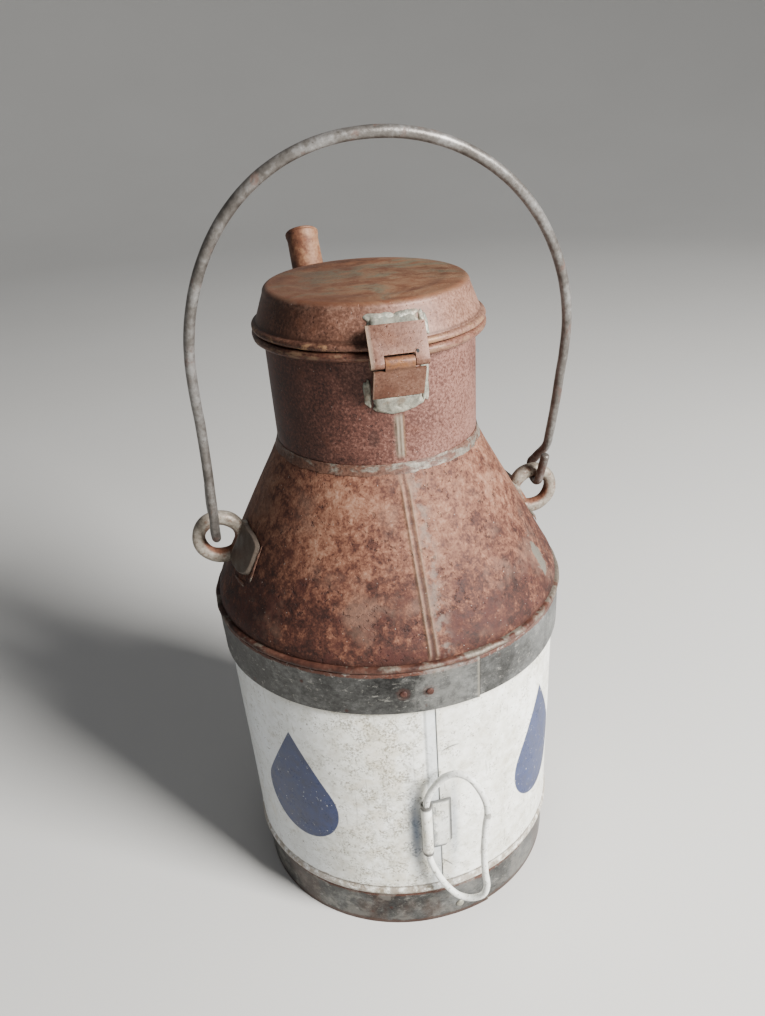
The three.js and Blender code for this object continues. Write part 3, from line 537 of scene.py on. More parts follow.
def puddle(place, half_width, half_height, thickness, seed):
    """A flat lump whose outline is a rounded rectangle with a wavering edge.

    place turns sideways, upward and outward distances into points. The top thins to nothing at
    the edge by a quarter-circle law, and is lumpy; the back lies on the can.
    """
    source = np.random.default_rng(seed)
    around = np.linspace(0, 2 * math.pi, 80, endpoint=False)
    p = source.uniform(0, 2 * math.pi, 6)
    waver = sum(size * np.sin(turns * around + start) for (turns, size), start in zip(WAVER, p))
    waver = 1 + 0.16 * waver
    square = (np.abs(np.cos(around)) ** 4 + np.abs(np.sin(around)) ** 4) ** -0.25
    u = half_width * square * np.cos(around) * waver
    v = half_height * square * np.sin(around) * waver
    share = np.linspace(0, 1, 28)[:, None]
    side, up = u * share, v * share
    lumps = 1 + 0.2 * np.sin(side * 0.7 + p[4]) * np.sin(up * 0.9 + p[5])
    lumps = lumps + 0.06 * np.sin(side * 1.7 + up * 1.3)
    out = thickness * np.clip(1 - share**3, 0, 1) ** 0.7 * lumps
    front = place(side, up, out + 0.02)
    back = place(side[::-1], up[::-1], np.zeros_like(side) - 0.02)
    return np.concatenate([front, back])


def on_neck(middle_turn, middle_height):
    """Places on the neck's outside, from a middle bearing and height."""

    def place(side, up, out):
        a = np.radians(middle_turn) + side / NECK_RADIUS
        radius = NECK_RADIUS + GAP + out
        return np.stack([radius * np.sin(a), -radius * np.cos(a), middle_height + up], -1)

    return place


def on_lid(middle_turn, middle_height):
    """Places on the lid's leaning side, from a middle bearing and height."""

    def place(side, up, out):
        height = middle_height + up
        share = (height - LID_BASE - 2 * LID_ROLL) / (LID_TOP - LID_CORNER - LID_BASE - 2 * LID_ROLL)
        radius = LID_RADIUS + (LID_TOP_RADIUS - LID_RADIUS) * np.clip(share, 0, 1.0) + GAP * 0.4 + out
        a = np.radians(middle_turn) + side / LID_RADIUS
        return np.stack([radius * np.sin(a), -radius * np.cos(a), height], -1)

    return place


def on_cone(middle_turn, middle_height, lift=0.0):
    """Places on the cone's outside. Upward distances run up the slope."""

    def place(side, up, out):
        height = middle_height + up * CONE_OUT[0]
        radius = cone_radius(height)
        a = np.radians(middle_turn) + side / np.maximum(radius, 1)
        radius = radius + (out + lift) * CONE_OUT[0]
        return np.stack([radius * np.sin(a), -radius * np.cos(a), height + (out + lift) * CONE_OUT[1]], -1)

    return place


def filled(profile, half_width, sag=0.0, columns=40):
    """A closed [y, z] outline carried along X, with ends that draw in."""
    profile = np.asarray(profile, float)
    middle = profile.mean(0)
    t = np.linspace(-1, 1, columns)
    shrink = np.clip(1 - np.abs(t) ** 12, 0.02, 1) ** 0.5 * (1 + sag * np.sin(t * 9 + 1) * np.sin(t * 4))
    points = middle + (profile[None] - middle) * shrink[:, None, None]
    pole = np.broadcast_to(middle, points[:1].shape)
    points = np.concatenate([pole, points, pole])
    x = half_width * np.concatenate([[-1], t, [1]])
    x = np.broadcast_to(x[:, None, None], points[..., :1].shape)
    return np.concatenate([x, points], -1)


# ---------- eye lugs ----------
def eye(reach, flatten):
    """A ring of round bar in the upright plane of the axis, swollen and flattened in places."""
    around = np.linspace(0, 2 * math.pi, 120, endpoint=False)[:, None]
    section = np.linspace(0, 2 * math.pi, 32, endpoint=False)[None]
    uneven = 0.05 * np.sin(2 * around + 1) + 0.03 * np.sin(5 * around)
    rod = ROD_RADIUS * (1 - uneven - flatten * hump(around, 0.9, 0.35))
    squared = (np.abs(np.cos(section)) ** 2.5 + np.abs(np.sin(section)) ** 2.5) ** (-1 / 2.5)
    rod = rod * (0.55 + 0.45 * squared) * 0.985
    radius = EYE_RADIUS + rod * np.cos(section) - 0.1
    x = reach + radius * np.cos(around)
    return np.stack([x, rod * np.sin(section) + 0 * x, LUG_HEIGHT + radius * np.sin(around)], -1)


def tang():
    """A flat tongue on the cone behind the eye: a rounded rectangle whose edge falls away."""
    around = np.linspace(0, 2 * math.pi, 120, endpoint=False)
    square = (np.abs(np.cos(around)) ** 5 + np.abs(np.sin(around)) ** 5) ** -0.2
    share = np.linspace(0, 1, 32)[:, None] ** 0.8
    side = 19.6 * square * np.cos(around) * share
    up = 13.6 * square * np.sin(around) * share * (1 - 0.14 * ease(side, 4, 20))
    out = 2.35 * (1 - ease(share, 0.93, 1.0) * 0.75)
    out = out + 0.12 * np.sin(side * 0.5) * np.sin(up * 0.6)
    place = on_cone(90 + math.degrees(15.2 / 92), LUG_HEIGHT - 3)
    front = place(side, up, out + GAP)
    back = place(side[::-1], up[::-1], np.full_like(side, 0.05))
    return np.concatenate([front, back])


def half_turn(points):
    """Points turned half round Z."""
    return points * np.array([-1, -1, 1])


# ---------- bail, spout and tilt handle ----------
# each leg's points: out from the hook, share of the hook's radius to the back, and height
BAIL_LEFT_LEG = [
    (-0.8, 1, 8), (-1.4, 0.93, 18), (-2.05, 0.7, 30),
    (-2.85, 0.35, 44), (-3.5, 0.08, 60), (-3.8, 0, 73),
]
BAIL_RIGHT_LEG = [
    (1.8, 0.93, 3), (3.4, 0.78, 7), (5, 0.58, 11), (6, 0.38, 15), (6.3, 0.19, 20),
    (5.9, 0.05, 27), (6, 0, 40), (6.1, 0, 56), (5.8, 0, 73),
]
BAIL_APEX_X, BAIL_SPRING, BAIL_RISE, HOOK_TIP = -2.9, 86.0, 129.4, 16.5


def bail_half(side, hook, radius, tip, leg, square):
    """From a hook's free end, under its eye's bar and up the leg to the top of the arch."""
    points = [(hook + tip, -radius, HOOK_TIP)]
    for a in np.radians(np.linspace(180, 360, 7)):
        points.append((hook, radius * math.cos(a), radius * math.sin(a)))
    points += [(hook + out, share * radius, height) for out, share, height in leg]
    half = hook + leg[-1][0] - side * BAIL_APEX_X
    for a in np.radians(np.linspace(0, 90, 10)):
        run = half * max(math.cos(a), 0) ** (2 / square)
        points.append((side * BAIL_APEX_X + run, 0, BAIL_SPRING + BAIL_RISE * math.sin(a) ** (2 / square)))
    return [(side * x, side * y, z) for x, y, z in points]


def bail_handle():
    """Wire along the bail's route, leaned to the front about the pivot."""
    left = bail_half(-1, LEFT_EYE_REACH + 2.3, ROD_RADIUS + WIRE_RADIUS + 5, -1.4, BAIL_LEFT_LEG, 2.2)
    right = bail_half(1, RIGHT_EYE_REACH + 2.3, ROD_RADIUS + WIRE_RADIUS + 0.7, 1.6, BAIL_RIGHT_LEG, 2)
    path = spline(left + right[::-1][1:], 1.0)
    wire = swept(path, WIRE_RADIUS * 0.985, 24, normal=(0.02, 1, 0.013), wear=0.008)
    return placed(wire, Matrix.Translation((0, 0, PIVOT_HEIGHT)) @ Matrix.Rotation(BAIL_LEAN, 4, "X"))


def along_spout(points):
    """Points drawn about Z with the mouth at zero, placed on the spout's axis."""
    out = np.array([math.sin(SPOUT_TURN), -math.cos(SPOUT_TURN), 0])
    up = out * math.sin(SPOUT_LEAN) + np.array([0, 0, math.cos(SPOUT_LEAN)])
    side = np.cross(up, [0, 0, 1])
    side /= np.linalg.norm(side)
    other = np.cross(up, side)
    foot = out * SPOUT_FOOT_REACH + np.array([0, 0, cone_height(SPOUT_FOOT_REACH)])
    mouth = foot + up * SPOUT_LENGTH
    return mouth + points[..., 0:1] * side + points[..., 1:2] * other + points[..., 2:3] * up


def spout_move(turn, height, radius):
    """A side seam, and a wall that isn't quite round."""
    a = np.radians(turn)
    seam = 0.5 * hump(turn, 170, 4) * (radius > SPOUT_TIP_RADIUS - 0.4)
    return 0.12 * np.sin(2 * a + height * 0.02) + 0.06 * np.sin(5 * a + height * 0.09) + seam - 0.12


def spout_tube():
    """A tapered tube with a rounded lip, open at the mouth."""
    lip = SPOUT_TIP_RADIUS + 0.8
    bore = SPOUT_TIP_RADIUS - 1
    end = -SPOUT_LENGTH - 9
    nose = arc(lip - 0.95, -0.95, 0.95, -60, 150, 12)
    outside = divided([[SPOUT_FOOT_RADIUS, end], [SPOUT_TIP_RADIUS, -6]], 2.5, closed=False)
    neck = [[SPOUT_TIP_RADIUS + 0.1, -5], [lip - 0.4, -3.6], [lip - 0.05, -2.4]]
    inside = divided([[bore, -1.4], [SPOUT_FOOT_RADIUS - 1, end]], 6, closed=False)
    return along_spout(turned(np.vstack([outside, neck, nose, inside]), bearings(96), spout_move))


def spout_solder():
    """A lumpy fillet on the cone round the spout's foot. Each point slides along the spout's
    axis until it meets the cone."""
    around = np.linspace(0, 2 * math.pi, 160, endpoint=False)
    lumps = 1 + 0.14 * np.sin(9 * around) * np.sin(2 * around + 1) + 0.1 * np.sin(21 * around)
    rows = []
    for past_tube, out in ((-0.4, 0.1), (3.1, 0.1), (2.7, 0.9), (1.4, 1.7), (0.5, 2.6), (-0.4, 3.2)):
        reach = SPOUT_FOOT_RADIUS + past_tube * lumps
        flat = np.stack([reach * np.cos(around), reach * np.sin(around), np.zeros_like(around)], -1)
        low, high = np.full_like(around, -SPOUT_LENGTH - 45), np.full_like(around, -SPOUT_LENGTH + 60)
        for _ in range(30):
            middle = (low + high) / 2
            point = along_spout(flat + middle[:, None] * np.array([0, 0, 1]))
            over = point[:, 2] > cone_height(np.hypot(point[:, 0], point[:, 1]), out * 0.9) - 0.001
            low, high = np.where(over, low, middle), np.where(over, middle, high)
        rows.append(along_spout(flat + middle[:, None] * np.array([0, 0, 1])))
    return np.stack(rows)


TILT_ROUTE = [
    (0, 10), (0, 22), (1.5, 30), (6, 40), (13, 50), (21, 54.5), (29, 52),
    (36, 42), (40, 28), (38.6, 10), (37.6, -12), (38.4, -32), (39.6, -46), (36.5, -56),
    (28, -61.5), (19.5, -60.5), (11, -52), (4.5, -40), (1, -30), (0, -22), (0, -10),
]


def tilt_handle_loop():
    """Wire along the loop's route, turned out from the can about the bracket's tube."""
    path = spline([(out, 0, up) for out, up in TILT_ROUTE], 0.9)
    wire = swept(path, TILT_WIRE_RADIUS * 0.985, 20, normal=(0.01, 1, 0.01), wear=0.012)
    place = (TILT_REACH * math.sin(TILT_BEARING), -TILT_REACH * math.cos(TILT_BEARING), TILT_MIDDLE)
    turn = Matrix.Rotation(TILT_BEARING - TILT_TURN_OUT, 4, "Z")
    return placed(wire, Matrix.Translation(place) @ turn)


# how far the base of a rivet's head lies nearer the axis than the middle of its solid
RIVET_SINK = 0.75


def rivet(node, height, radius):
    """A low dome with a hammered flat on it, set where the solid one is."""
    low, high = (np.array(corner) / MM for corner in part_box(node))
    middle = (low + high) / 2
    turn = math.atan2(middle[0], -middle[1])
    reach = math.hypot(middle[0], middle[1]) - RIVET_SINK
    a = np.linspace(0, math.pi / 2, 10)
    dome = np.stack([radius * np.cos(a), height * np.minimum(np.sin(a), 0.93)], -1)
    outline = np.vstack([[[0, 0], [radius * 0.95, 0]], dome])
    head = turned(outline, bearings(36), lambda t, h, r: 0.12 * np.sin(np.radians(t * 3)) * (r > 1) - 0.1)
    face_out = Matrix.Translation((0, -reach, middle[2])) @ Matrix.Rotation(math.pi / 2, 4, "X")
    return placed(head, Matrix.Rotation(turn, 4, "Z") @ face_out)


def eased_copy(node, name, width, smooth_angle=35):
    """A copy of a solid with its doubles merged, its flats joined and its edges rounded."""
    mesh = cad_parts[node].data.copy()
    mesh.name = name
    work = bmesh.new()
    work.from_mesh(mesh)
    bmesh.ops.remove_doubles(work, verts=work.verts, dist=1e-6)
    bmesh.ops.dissolve_limit(work, angle_limit=math.radians(1), verts=work.verts, edges=work.edges)
    edges = [e for e in work.edges if e.is_manifold and e.calc_face_angle(0) > math.radians(35)]
    bmesh.ops.bevel(
        work, geom=edges, offset=width * MM, offset_type="OFFSET",
        segments=2, profile=0.6, affect="EDGES", clamp_overlap=True,
    )
    bmesh.ops.triangulate(work, faces=[f for f in work.faces if len(f.verts) > 4])
    work.to_mesh(mesh)
    work.free()
    mesh.materials.clear()
    mesh.shade_smooth()
    mesh.set_sharp_from_angle(angle=math.radians(smooth_angle))
    piece = bpy.data.objects.new(name, mesh)
    bpy.context.scene.collection.objects.link(piece)
    return piece


# ---------- shader values ----------
def linear(red, green, blue):
    """A screen colour of 0 to 255 as linear light with full alpha."""
    parts = [c / 255 for c in (red, green, blue)]
    return tuple(c / 12.92 if c <= 0.04045 else ((c + 0.055) / 1.055) ** 2.4 for c in parts) + (1.0,)


def deep(red, green, blue, share=0.47, power=1.14):
    """The same, dimmed and a little richer, for rust and dull metal under a strong key light."""
    return tuple(share * c**power for c in linear(red, green, blue)[:3]) + (1.0,)


class Value:
    """A number that varies over a surface. Arithmetic on it adds Math nodes."""

    def __init__(self, finish, socket):
        self.finish, self.socket = finish, socket

    def math(self, operation, *others):
        values = dict(enumerate((self, *others)))
        return self.finish.node("ShaderNodeMath", {"operation": operation}, values)

    def __add__(self, other):
        return self.math("ADD", other)

    def __mul__(self, other):
        return self.math("MULTIPLY", other)

    def __sub__(self, other):
        return self.math("SUBTRACT", other)

    def __rsub__(self, other):
        return self * -1 + other

    def __truediv__(self, other):
        return self.math("DIVIDE", other)

    def __pow__(self, other):
        return self.math("POWER", other)

    def __neg__(self):
        return self * -1

    __radd__, __rmul__ = __add__, __mul__

    def ease(self, low, high):
        """Nothing at low and one at high, with an eased run between."""
        settings = {"interpolation_type": "SMOOTHSTEP"}
        return self.finish.node("ShaderNodeMapRange", settings, {0: self, 1: low, 2: high})

    def bell(self, middle, width):
        """One at the middle, falling away like a bell curve."""
        scaled = (self - middle) * (1 / width)
        return (scaled * scaled * -1).math("EXPONENT")


class Finish:
    """A material being made: its nodes, and the values that its patterns use."""

    def __init__(self, name):
        self.material = bpy.data.materials.new(name)
        self.material.use_nodes = True
        self.tree = self.material.node_tree
        self.shader = self.tree.nodes["Principled BSDF"]
        self.place = self.node("ShaderNodeTexCoord", {}, {}, "Object").socket
        x, y, z = (self.node("ShaderNodeSeparateXYZ", {}, {0: self.place}, axis) for axis in "XYZ")
        self.x, self.y, self.z = x * 1000, y * 1000, z * 1000
        self.shader.inputs["Specular IOR Level"].default_value = 0.3

    def node(self, kind, settings, values, output=0):
        """A node of a type, with its settings made first and then its sockets' values or links."""
        node = self.tree.nodes.new(kind)
        for name, value in settings.items():
            if name == "stops":
                self.set_stops(node.color_ramp, value)
            else:
                setattr(node, name, value)
        for key, value in values.items():
            self.feed(node.inputs[key], value)
        return Value(self, node.outputs[output])

    def feed(self, socket, value):
        """Links a value to a socket, or sets the socket to a number or a colour."""
        value = getattr(value, "socket", value)
        if isinstance(value, bpy.types.NodeSocket):
            self.tree.links.new(value, socket)
        else:
            socket.default_value = value

    @staticmethod
    def set_stops(ramp, stops):
        """Puts a ramp's stops at their places with their colours."""
        while len(ramp.elements) < len(stops):
            ramp.elements.new(0.5)
        for element, (place, colour) in zip(ramp.elements, stops):
            element.position = place
            element.color = colour

    def bearing(self):
        """Degrees from the front towards +X."""
        return self.x.math("ARCTAN2", -self.y) * (180 / math.pi)

    def front(self):
        """One at the front, fading from 26 degrees either way, and nothing past 30."""
        bearing = self.bearing()
        return (bearing * bearing).ease(30**2, 700)

    def side(self):
        """From -1 at the can's left to 1 at its right, the same behind as in front."""
        return self.x / self.reach()

    def reach(self):
        """Distance from the can's axis in millimetres."""
        return (self.x * self.x + self.y * self.y) ** 0.5

    def noise(self, size, detail=3.0, roughness=0.55, warp=0.0, stretch=(1, 1, 1), shift=0.0):
        """Cloudy noise whose features are about so many millimetres across, from 0 to 1."""
        values = {"Vector": self.mapped(stretch, shift), "Scale": 1000 / size}
        values |= {"Detail": detail, "Roughness": roughness, "Distortion": warp}
        return self.node("ShaderNodeTexNoise", {}, values)

    def cells(self, size, randomness=1.0, stretch=(1, 1, 1), shift=0.0):
        """Distance to the nearest of scattered points, about so many millimetres apart."""
        values = {"Vector": self.mapped(stretch, shift), "Scale": 1000 / size, "Randomness": randomness}
        return self.node("ShaderNodeTexVoronoi", {}, values, "Distance")

    def mapped(self, stretch, shift):
        """Object coordinates, stretched and shifted."""
        if stretch == (1, 1, 1) and not shift:
            return self.place
        values = {"Vector": self.place, "Location": (shift, shift * 0.7, shift * 1.3), "Scale": stretch}
        return self.node("ShaderNodeMapping", {}, values).socket

    def blend(self, amount, first, second, mode="MIX"):
        """The first colour, going over to the second as the amount goes to one."""
        settings = {"data_type": "RGBA", "blend_type": mode, "clamp_factor": True}
        return self.node("ShaderNodeMix", settings, {0: amount, 6: first, 7: second}, 2)

    def ramp(self, value, stops):
        """A colour read from stops of place and colour."""
        return self.node("ShaderNodeValToRGB", {"stops": stops}, {0: value})

    def bump(self, height, distance, strength=1.0, under=None):
        """A normal bent by a height of so many millimetres."""
        values = {"Height": height, "Distance": distance * MM, "Strength": strength}
        if under is not None:
            values["Normal"] = under
        return self.node("ShaderNodeBump", {}, values)

    def layers(self, *heights):
        """Bumps laid one on another, each a height, its size and, where it isn't one, its strength."""
        normal = None
        for height in heights:
            normal = self.bump(*height, under=normal)
        return normal

    def coat(self, amount, colour):
        """Lays another colour over the finish's own as the amount goes to one."""
        self.colour = self.blend(amount, self.colour, colour)

    def connect(self, roughness, metallic=0.0, normal=None):
        """Gives the main shader its colour, roughness, metal and normal, and returns the material."""
        self.feed(self.shader.inputs["Base Color"], self.colour)
        self.feed(self.shader.inputs["Roughness"], roughness)
        self.feed(self.shader.inputs["Metallic"], metallic)
        if normal is not None:
            self.feed(self.shader.inputs["Normal"], normal)
        return self.material


# ---------- finishes ----------
def rust_relief(finish, blotches, pits, grain, depth=1.0):
    """A rusted surface's relief: raised scale, pits and a fine grain."""
    scale = (blotches, 0.35 * depth)
    dents = (1 - pits, 0.3 * depth, 0.8)
    return finish.layers(scale, dents, (grain, 0.16 * depth, 0.9))


def cone_rust():
    """Coarse mottled rust: orange-brown scale over maroon, dark pits, and grey where tin is left."""
    f = Finish("cone_rust")
    bearing, height = f.bearing(), f.z
    clouds = f.noise(30, 5, 0.62, 0.3)
    mottle = f.noise(5.4, 5, 0.7, 0.2, shift=3)
    grain = f.noise(1.5, 3, 0.65)
    speck = f.noise(3.0, 3, 0.6, shift=9)
    tone = (clouds - 0.5) * 1.1 + (mottle - 0.5) * 1.7 + (grain - 0.5) * 0.8
    low = height.ease(300, 246)
    # painted shade: the side term makes the rust a touch darker on the left
    light = tone + 0.52 - low * 0.36 + f.side().ease(-0.9, 0.7) * 0.05
    f.colour = f.ramp(light, [
        (0.0, deep(70, 40, 33)),
        (0.28, deep(108, 67, 54)),
        (0.46, deep(144, 98, 78)),
        (0.62, deep(168, 121, 98)),
        (0.80, deep(186, 142, 118)),
        (1.0, deep(200, 162, 140)),
    ])
    maroon = f.noise(15, 5, 0.66, 0.3, shift=5).ease(0.46, 0.66) * (0.2 + low * 0.62)
    f.coat(maroon, deep(100, 56, 48))
    f.coat(f.noise(34, 4, 0.6, shift=7).ease(0.52, 0.7) * 0.42, deep(172, 140, 122))
    dark = speck.ease(0.58, 0.68) * f.noise(21, 3, 0.5, shift=2).ease(0.36, 0.58)
    f.coat(dark * 0.75, deep(62, 34, 30))
    # a patch of bare tin on the right of the shoulder
    torn = f.noise(7, 5, 0.75, 0.8, stretch=(1, 1, 0.6))
    patch = (bearing.bell(57, 5) * height.bell(258, 16) * 0.75 + torn * 0.9).ease(0.9, 1.0)
    f.coat(patch * 0.8, deep(166, 164, 152))
    sideways = (bearing - 0.6) * f.reach() * (math.pi / 180)
    front = f.front()
    seam = (sideways.bell(-2.3, 1.1) + sideways.bell(2.0, 1.2)) * front
    beside = sideways.bell(7, 4.5) * f.noise(6, 3, 0.6, shift=4).ease(0.42, 0.62) * front
    f.coat(seam * (0.1 + f.noise(4, 3, 0.6, shift=6) * 0.8), deep(182, 156, 134))
    f.coat(beside * 0.5, deep(170, 160, 150))
    groove = sideways.bell(-0.1, 0.75) * front
    f.coat(groove * 0.7, deep(88, 62, 52))
    rim = height.ease(241, 235.5)
    f.coat(rim * f.noise(9, 4, 0.7, shift=8).ease(0.35, 0.6) * 0.8, deep(84, 48, 38))
    specks = f.noise(1.3, 1, 0.4, shift=12).ease(0.76, 0.8)
    f.coat(specks * 0.7, deep(216, 203, 192))
    metal = patch * 0.4 + 0.08
    relief = rust_relief(f, mottle, dark, grain, 1.0)
    return f.connect(0.72 + (mottle - 0.5) * 0.3, metal, relief)


def fine_rust(name, tones, shade_swing, speckle, warm):
    """Fine even rust: close specks over a colour with painted shade that makes it darker on the left than
    on the right.

    tones are its dark, middle and light colours, shade_swing is how far the painted shade makes left and
    right differ, speckle is the strength of the specks, and warm is that of the orange patches.
    """
    f = Finish(name)
    clouds = f.noise(22, 4, 0.6, 0.3)
    fine = f.noise(1.5, 4, 0.7)
    # painted shade: the side term darkens the left and lightens the right
    side = f.side().ease(-0.97, 0.78)
    tone = side * shade_swing + (clouds - 0.5) * 0.85 + (fine - 0.5) * 1.9 * speckle + (0.5 - shade_swing / 2)
    f.colour = f.ramp(tone, list(zip((0.05, 0.5, 0.95), tones)))
    pits = f.noise(1.9, 2, 0.55, shift=7).ease(0.63, 0.73)
    f.coat(pits * 0.55 * speckle, deep(62, 38, 34))
    orange = f.noise(15, 4, 0.62, shift=9).ease(0.56, 0.74)
    f.coat(orange * warm, deep(150, 92, 62))
    bright = f.noise(1.2, 1, 0.4, shift=14).ease(0.78, 0.82)
    f.coat(bright * 0.6, deep(222, 210, 202))
    relief = rust_relief(f, clouds, pits, fine, 0.6)
    return f, relief, fine


def neck_rust():
    """The neck's purple-brown rust, with a greenish-white run of solder down its seam."""
    tones = deep(74, 45, 38), deep(126, 84, 73), deep(180, 136, 122)
    f, relief, fine = fine_rust("neck_rust", tones, 0.5, 1.1, 0.2)
    sideways = f.bearing() * f.reach() * (math.pi / 180)
    up = f.z.ease(338, 342) * f.z.ease(366, 362)
    strip = (sideways.bell(-0.7, 1.5) + sideways.bell(1.6, 1.2)) * up * f.y.ease(0, -10)
    f.coat(strip * (0.35 + f.noise(3.2, 3, 0.6, shift=5) * 0.8), deep(176, 164, 146))
    edge = sideways.bell(3.0, 0.5) * up * f.y.ease(0, -10)
    f.coat(edge * 0.6, deep(150, 112, 76))
    stain = (sideways.bell(-14, 6) * f.z.bell(352, 8) + f.noise(4, 3, 0.6) * 0.5).ease(0.85, 1.05)
    f.coat(stain * 0.5, deep(58, 36, 32))
    return f.connect(0.55 + (fine - 0.5) * 0.3, 0.12, relief)


def ring_rust():
    """Worn rolled edges: browner in the hollows and rubbed light along the crest."""
    tones = deep(80, 50, 40), deep(134, 92, 76), deep(178, 132, 114)
    f, relief, fine = fine_rust("ring_rust", tones, 0.45, 0.9, 0.3)
    crest = (f.reach() - 67.0).ease(-1.2, 0.6)
    worn = crest * f.noise(9, 3, 0.6, stretch=(1, 1, 3), shift=3).ease(0.45, 0.62)
    f.coat(worn * 0.55, deep(188, 158, 128))
    return f.connect(0.5 + (fine - 0.5) * 0.3, 0.2, relief)


def lid_rust():
    """The lid: taupe and rust patches on its top, and fine rust on its side with a bright worn rim."""
    tones = deep(84, 56, 45), deep(148, 108, 91), deep(200, 158, 138)
    f, relief, fine = fine_rust("lid_rust", tones, 0.5, 0.85, 0.3)
    top = f.z.ease(420.5, 422.6)
    sweep = f.noise(26, 5, 0.66, 0.7, stretch=(0.62, 1, 1), shift=6)
    plate = f.ramp(sweep, [
        (0.30, deep(104, 70, 54)),
        (0.41, deep(158, 112, 84)),
        (0.50, deep(178, 140, 110)),
        (0.58, deep(150, 142, 120)),
        (0.68, deep(166, 116, 86)),
        (0.78, deep(124, 80, 58)),
    ])
    rusty = f.noise(11, 5, 0.68, 0.5, stretch=(0.7, 1, 1), shift=11).ease(0.5, 0.64)
    plate = f.blend(rusty * 0.6, plate, deep(134, 80, 56))
    tan = f.noise(6, 4, 0.66, shift=21).ease(0.58, 0.7)
    plate = f.blend(tan * 0.45, plate, deep(190, 152, 118))
    plate = f.blend((fine - 0.45).ease(0.0, 0.3) * 0.3, plate, deep(92, 66, 54))
    shade = f.x.ease(18, -46) * (0.35 + f.noise(19, 3, 0.6, shift=31) * 0.5)
    plate = f.blend(shade, plate, deep(112, 78, 62))
    edge = f.reach().ease(50, 56)
    plate = f.blend(edge * 0.35, plate, deep(146, 100, 80))
    f.coat(top, plate)
    rim = (f.reach().ease(64.6, 66.4) + f.z.ease(405.0, 402.5) * 0.3) * f.z.ease(406, 403.5)
    brown = f.noise(16, 5, 0.68, 0.4, shift=17).ease(0.48, 0.64) * f.z.ease(421, 418)
    f.coat(brown * 0.4, deep(110, 74, 58))
    worn = rim * f.noise(9, 4, 0.66, shift=3).ease(0.5, 0.62)
    f.coat(worn * 0.55, deep(204, 164, 126))
    under = f.z.bell(405.4, 0.8) * f.reach().ease(60, 63)
    f.coat(under * 0.6, deep(84, 54, 42))
    corner = f.z.bell(420.6, 1.6) * f.noise(8, 3, 0.6, shift=8).ease(0.4, 0.65)
    f.coat(corner * 0.3, deep(190, 158, 140))
    return f.connect(0.5 + (fine - 0.5) * 0.35, 0.18, relief)


def hinge_rust():
    """The hinge's worn brown leaves, with ochre rust on the middle knuckle and bright knocks."""
    tones = deep(104, 70, 57), deep(146, 106, 88), deep(180, 140, 120)
    f, relief, fine = fine_rust("hinge_rust", tones, 0.35, 0.8, 0.3)
    knuckle = f.z.bell(PIN_HEIGHT, 3.2)
    ochre = knuckle * (f.x * f.x).ease(72, 56) * f.noise(3, 3, 0.7).ease(0.35, 0.6)
    f.coat(ochre * 0.75, deep(172, 116, 58))
    # painted shade: a dark line just under the knuckle
    darkening = f.z.bell(PIN_HEIGHT - 3.4, 1.0) * 0.55
    f.coat(darkening, deep(84, 54, 40))
    side = f.x.ease(-12.6, -15.2)
    f.coat(side * 0.6, deep(196, 178, 158))
    # painted shade: a near-black spot that stands for the dark inside a hole in the lid's leaf
    hole_shade = (f.x - 9.6) * (f.x - 9.6) + (f.z - 401.2) * (f.z - 401.2)
    f.coat(hole_shade.ease(1.1, 0.6), deep(20, 16, 14))
    brown = f.noise(7, 3, 0.6, shift=4).ease(0.55, 0.7) * f.z.ease(394, 386)
    f.coat(brown * 0.4, deep(130, 84, 66))
    return f.connect(0.48 + (fine - 0.5) * 0.3, 0.2, relief)


def zinc(name, rust_low, rust_high, tint=1.0):
    """Weathered zinc: dark and cloudy, with pale scuffs, spots of rust, a rusted upper edge, and painted
    light that makes it lighter towards the right.
    """
    f = Finish(name)
    clouds = f.noise(30, 4, 0.6, 0.4)
    streaks = f.noise(4, 5, 0.7, stretch=(1, 1, 1.5), shift=3)
    grain = f.noise(1.1, 3, 0.65, shift=5)
    tone = (clouds - 0.5) * 1.5 + (streaks - 0.5) * 0.75 + (grain - 0.5) * 0.4 + 0.3
    # painted light: lighter towards the right
    tone = tone + f.side().ease(-0.3, 0.9) * 0.3
    f.colour = f.ramp(tone, [
        (0.05, deep(64 * tint, 63 * tint, 62 * tint)),
        (0.4, deep(118 * tint, 118 * tint, 116 * tint)),
        (0.75, deep(168 * tint, 169 * tint, 167 * tint)),
        (1.0, deep(206 * tint, 207 * tint, 204 * tint)),
    ])
    edge = f.z.ease(rust_low, rust_high)
    rust = (edge * 0.62 + f.noise(6, 5, 0.7, shift=7) * 0.85 - 0.3).ease(0.3, 0.46)
    spots = f.cells(11, shift=2).ease(0.18, 0.08) * f.noise(30, 2, 0.5, shift=6).ease(0.46, 0.56)
    f.coat(rust * 0.8, f.ramp(grain, [(0.3, deep(92, 50, 36)), (0.7, deep(142, 88, 64))]))
    f.coat(spots * 0.8, deep(96, 56, 44))
    scuff = f.noise(6, 5, 0.78, 0.6, stretch=(1, 1, 1.8), shift=9).ease(0.56, 0.66)
    f.coat(scuff * 0.55, deep(212, 210, 202))
    bump = f.layers((clouds, 0.2), (grain * 0.6 + rust * 0.6, 0.12, 0.9))
    metal = (1 - rust) * 0.55
    return f, 0.46 + (clouds - 0.5) * 0.35 + rust * 0.25, metal, bump


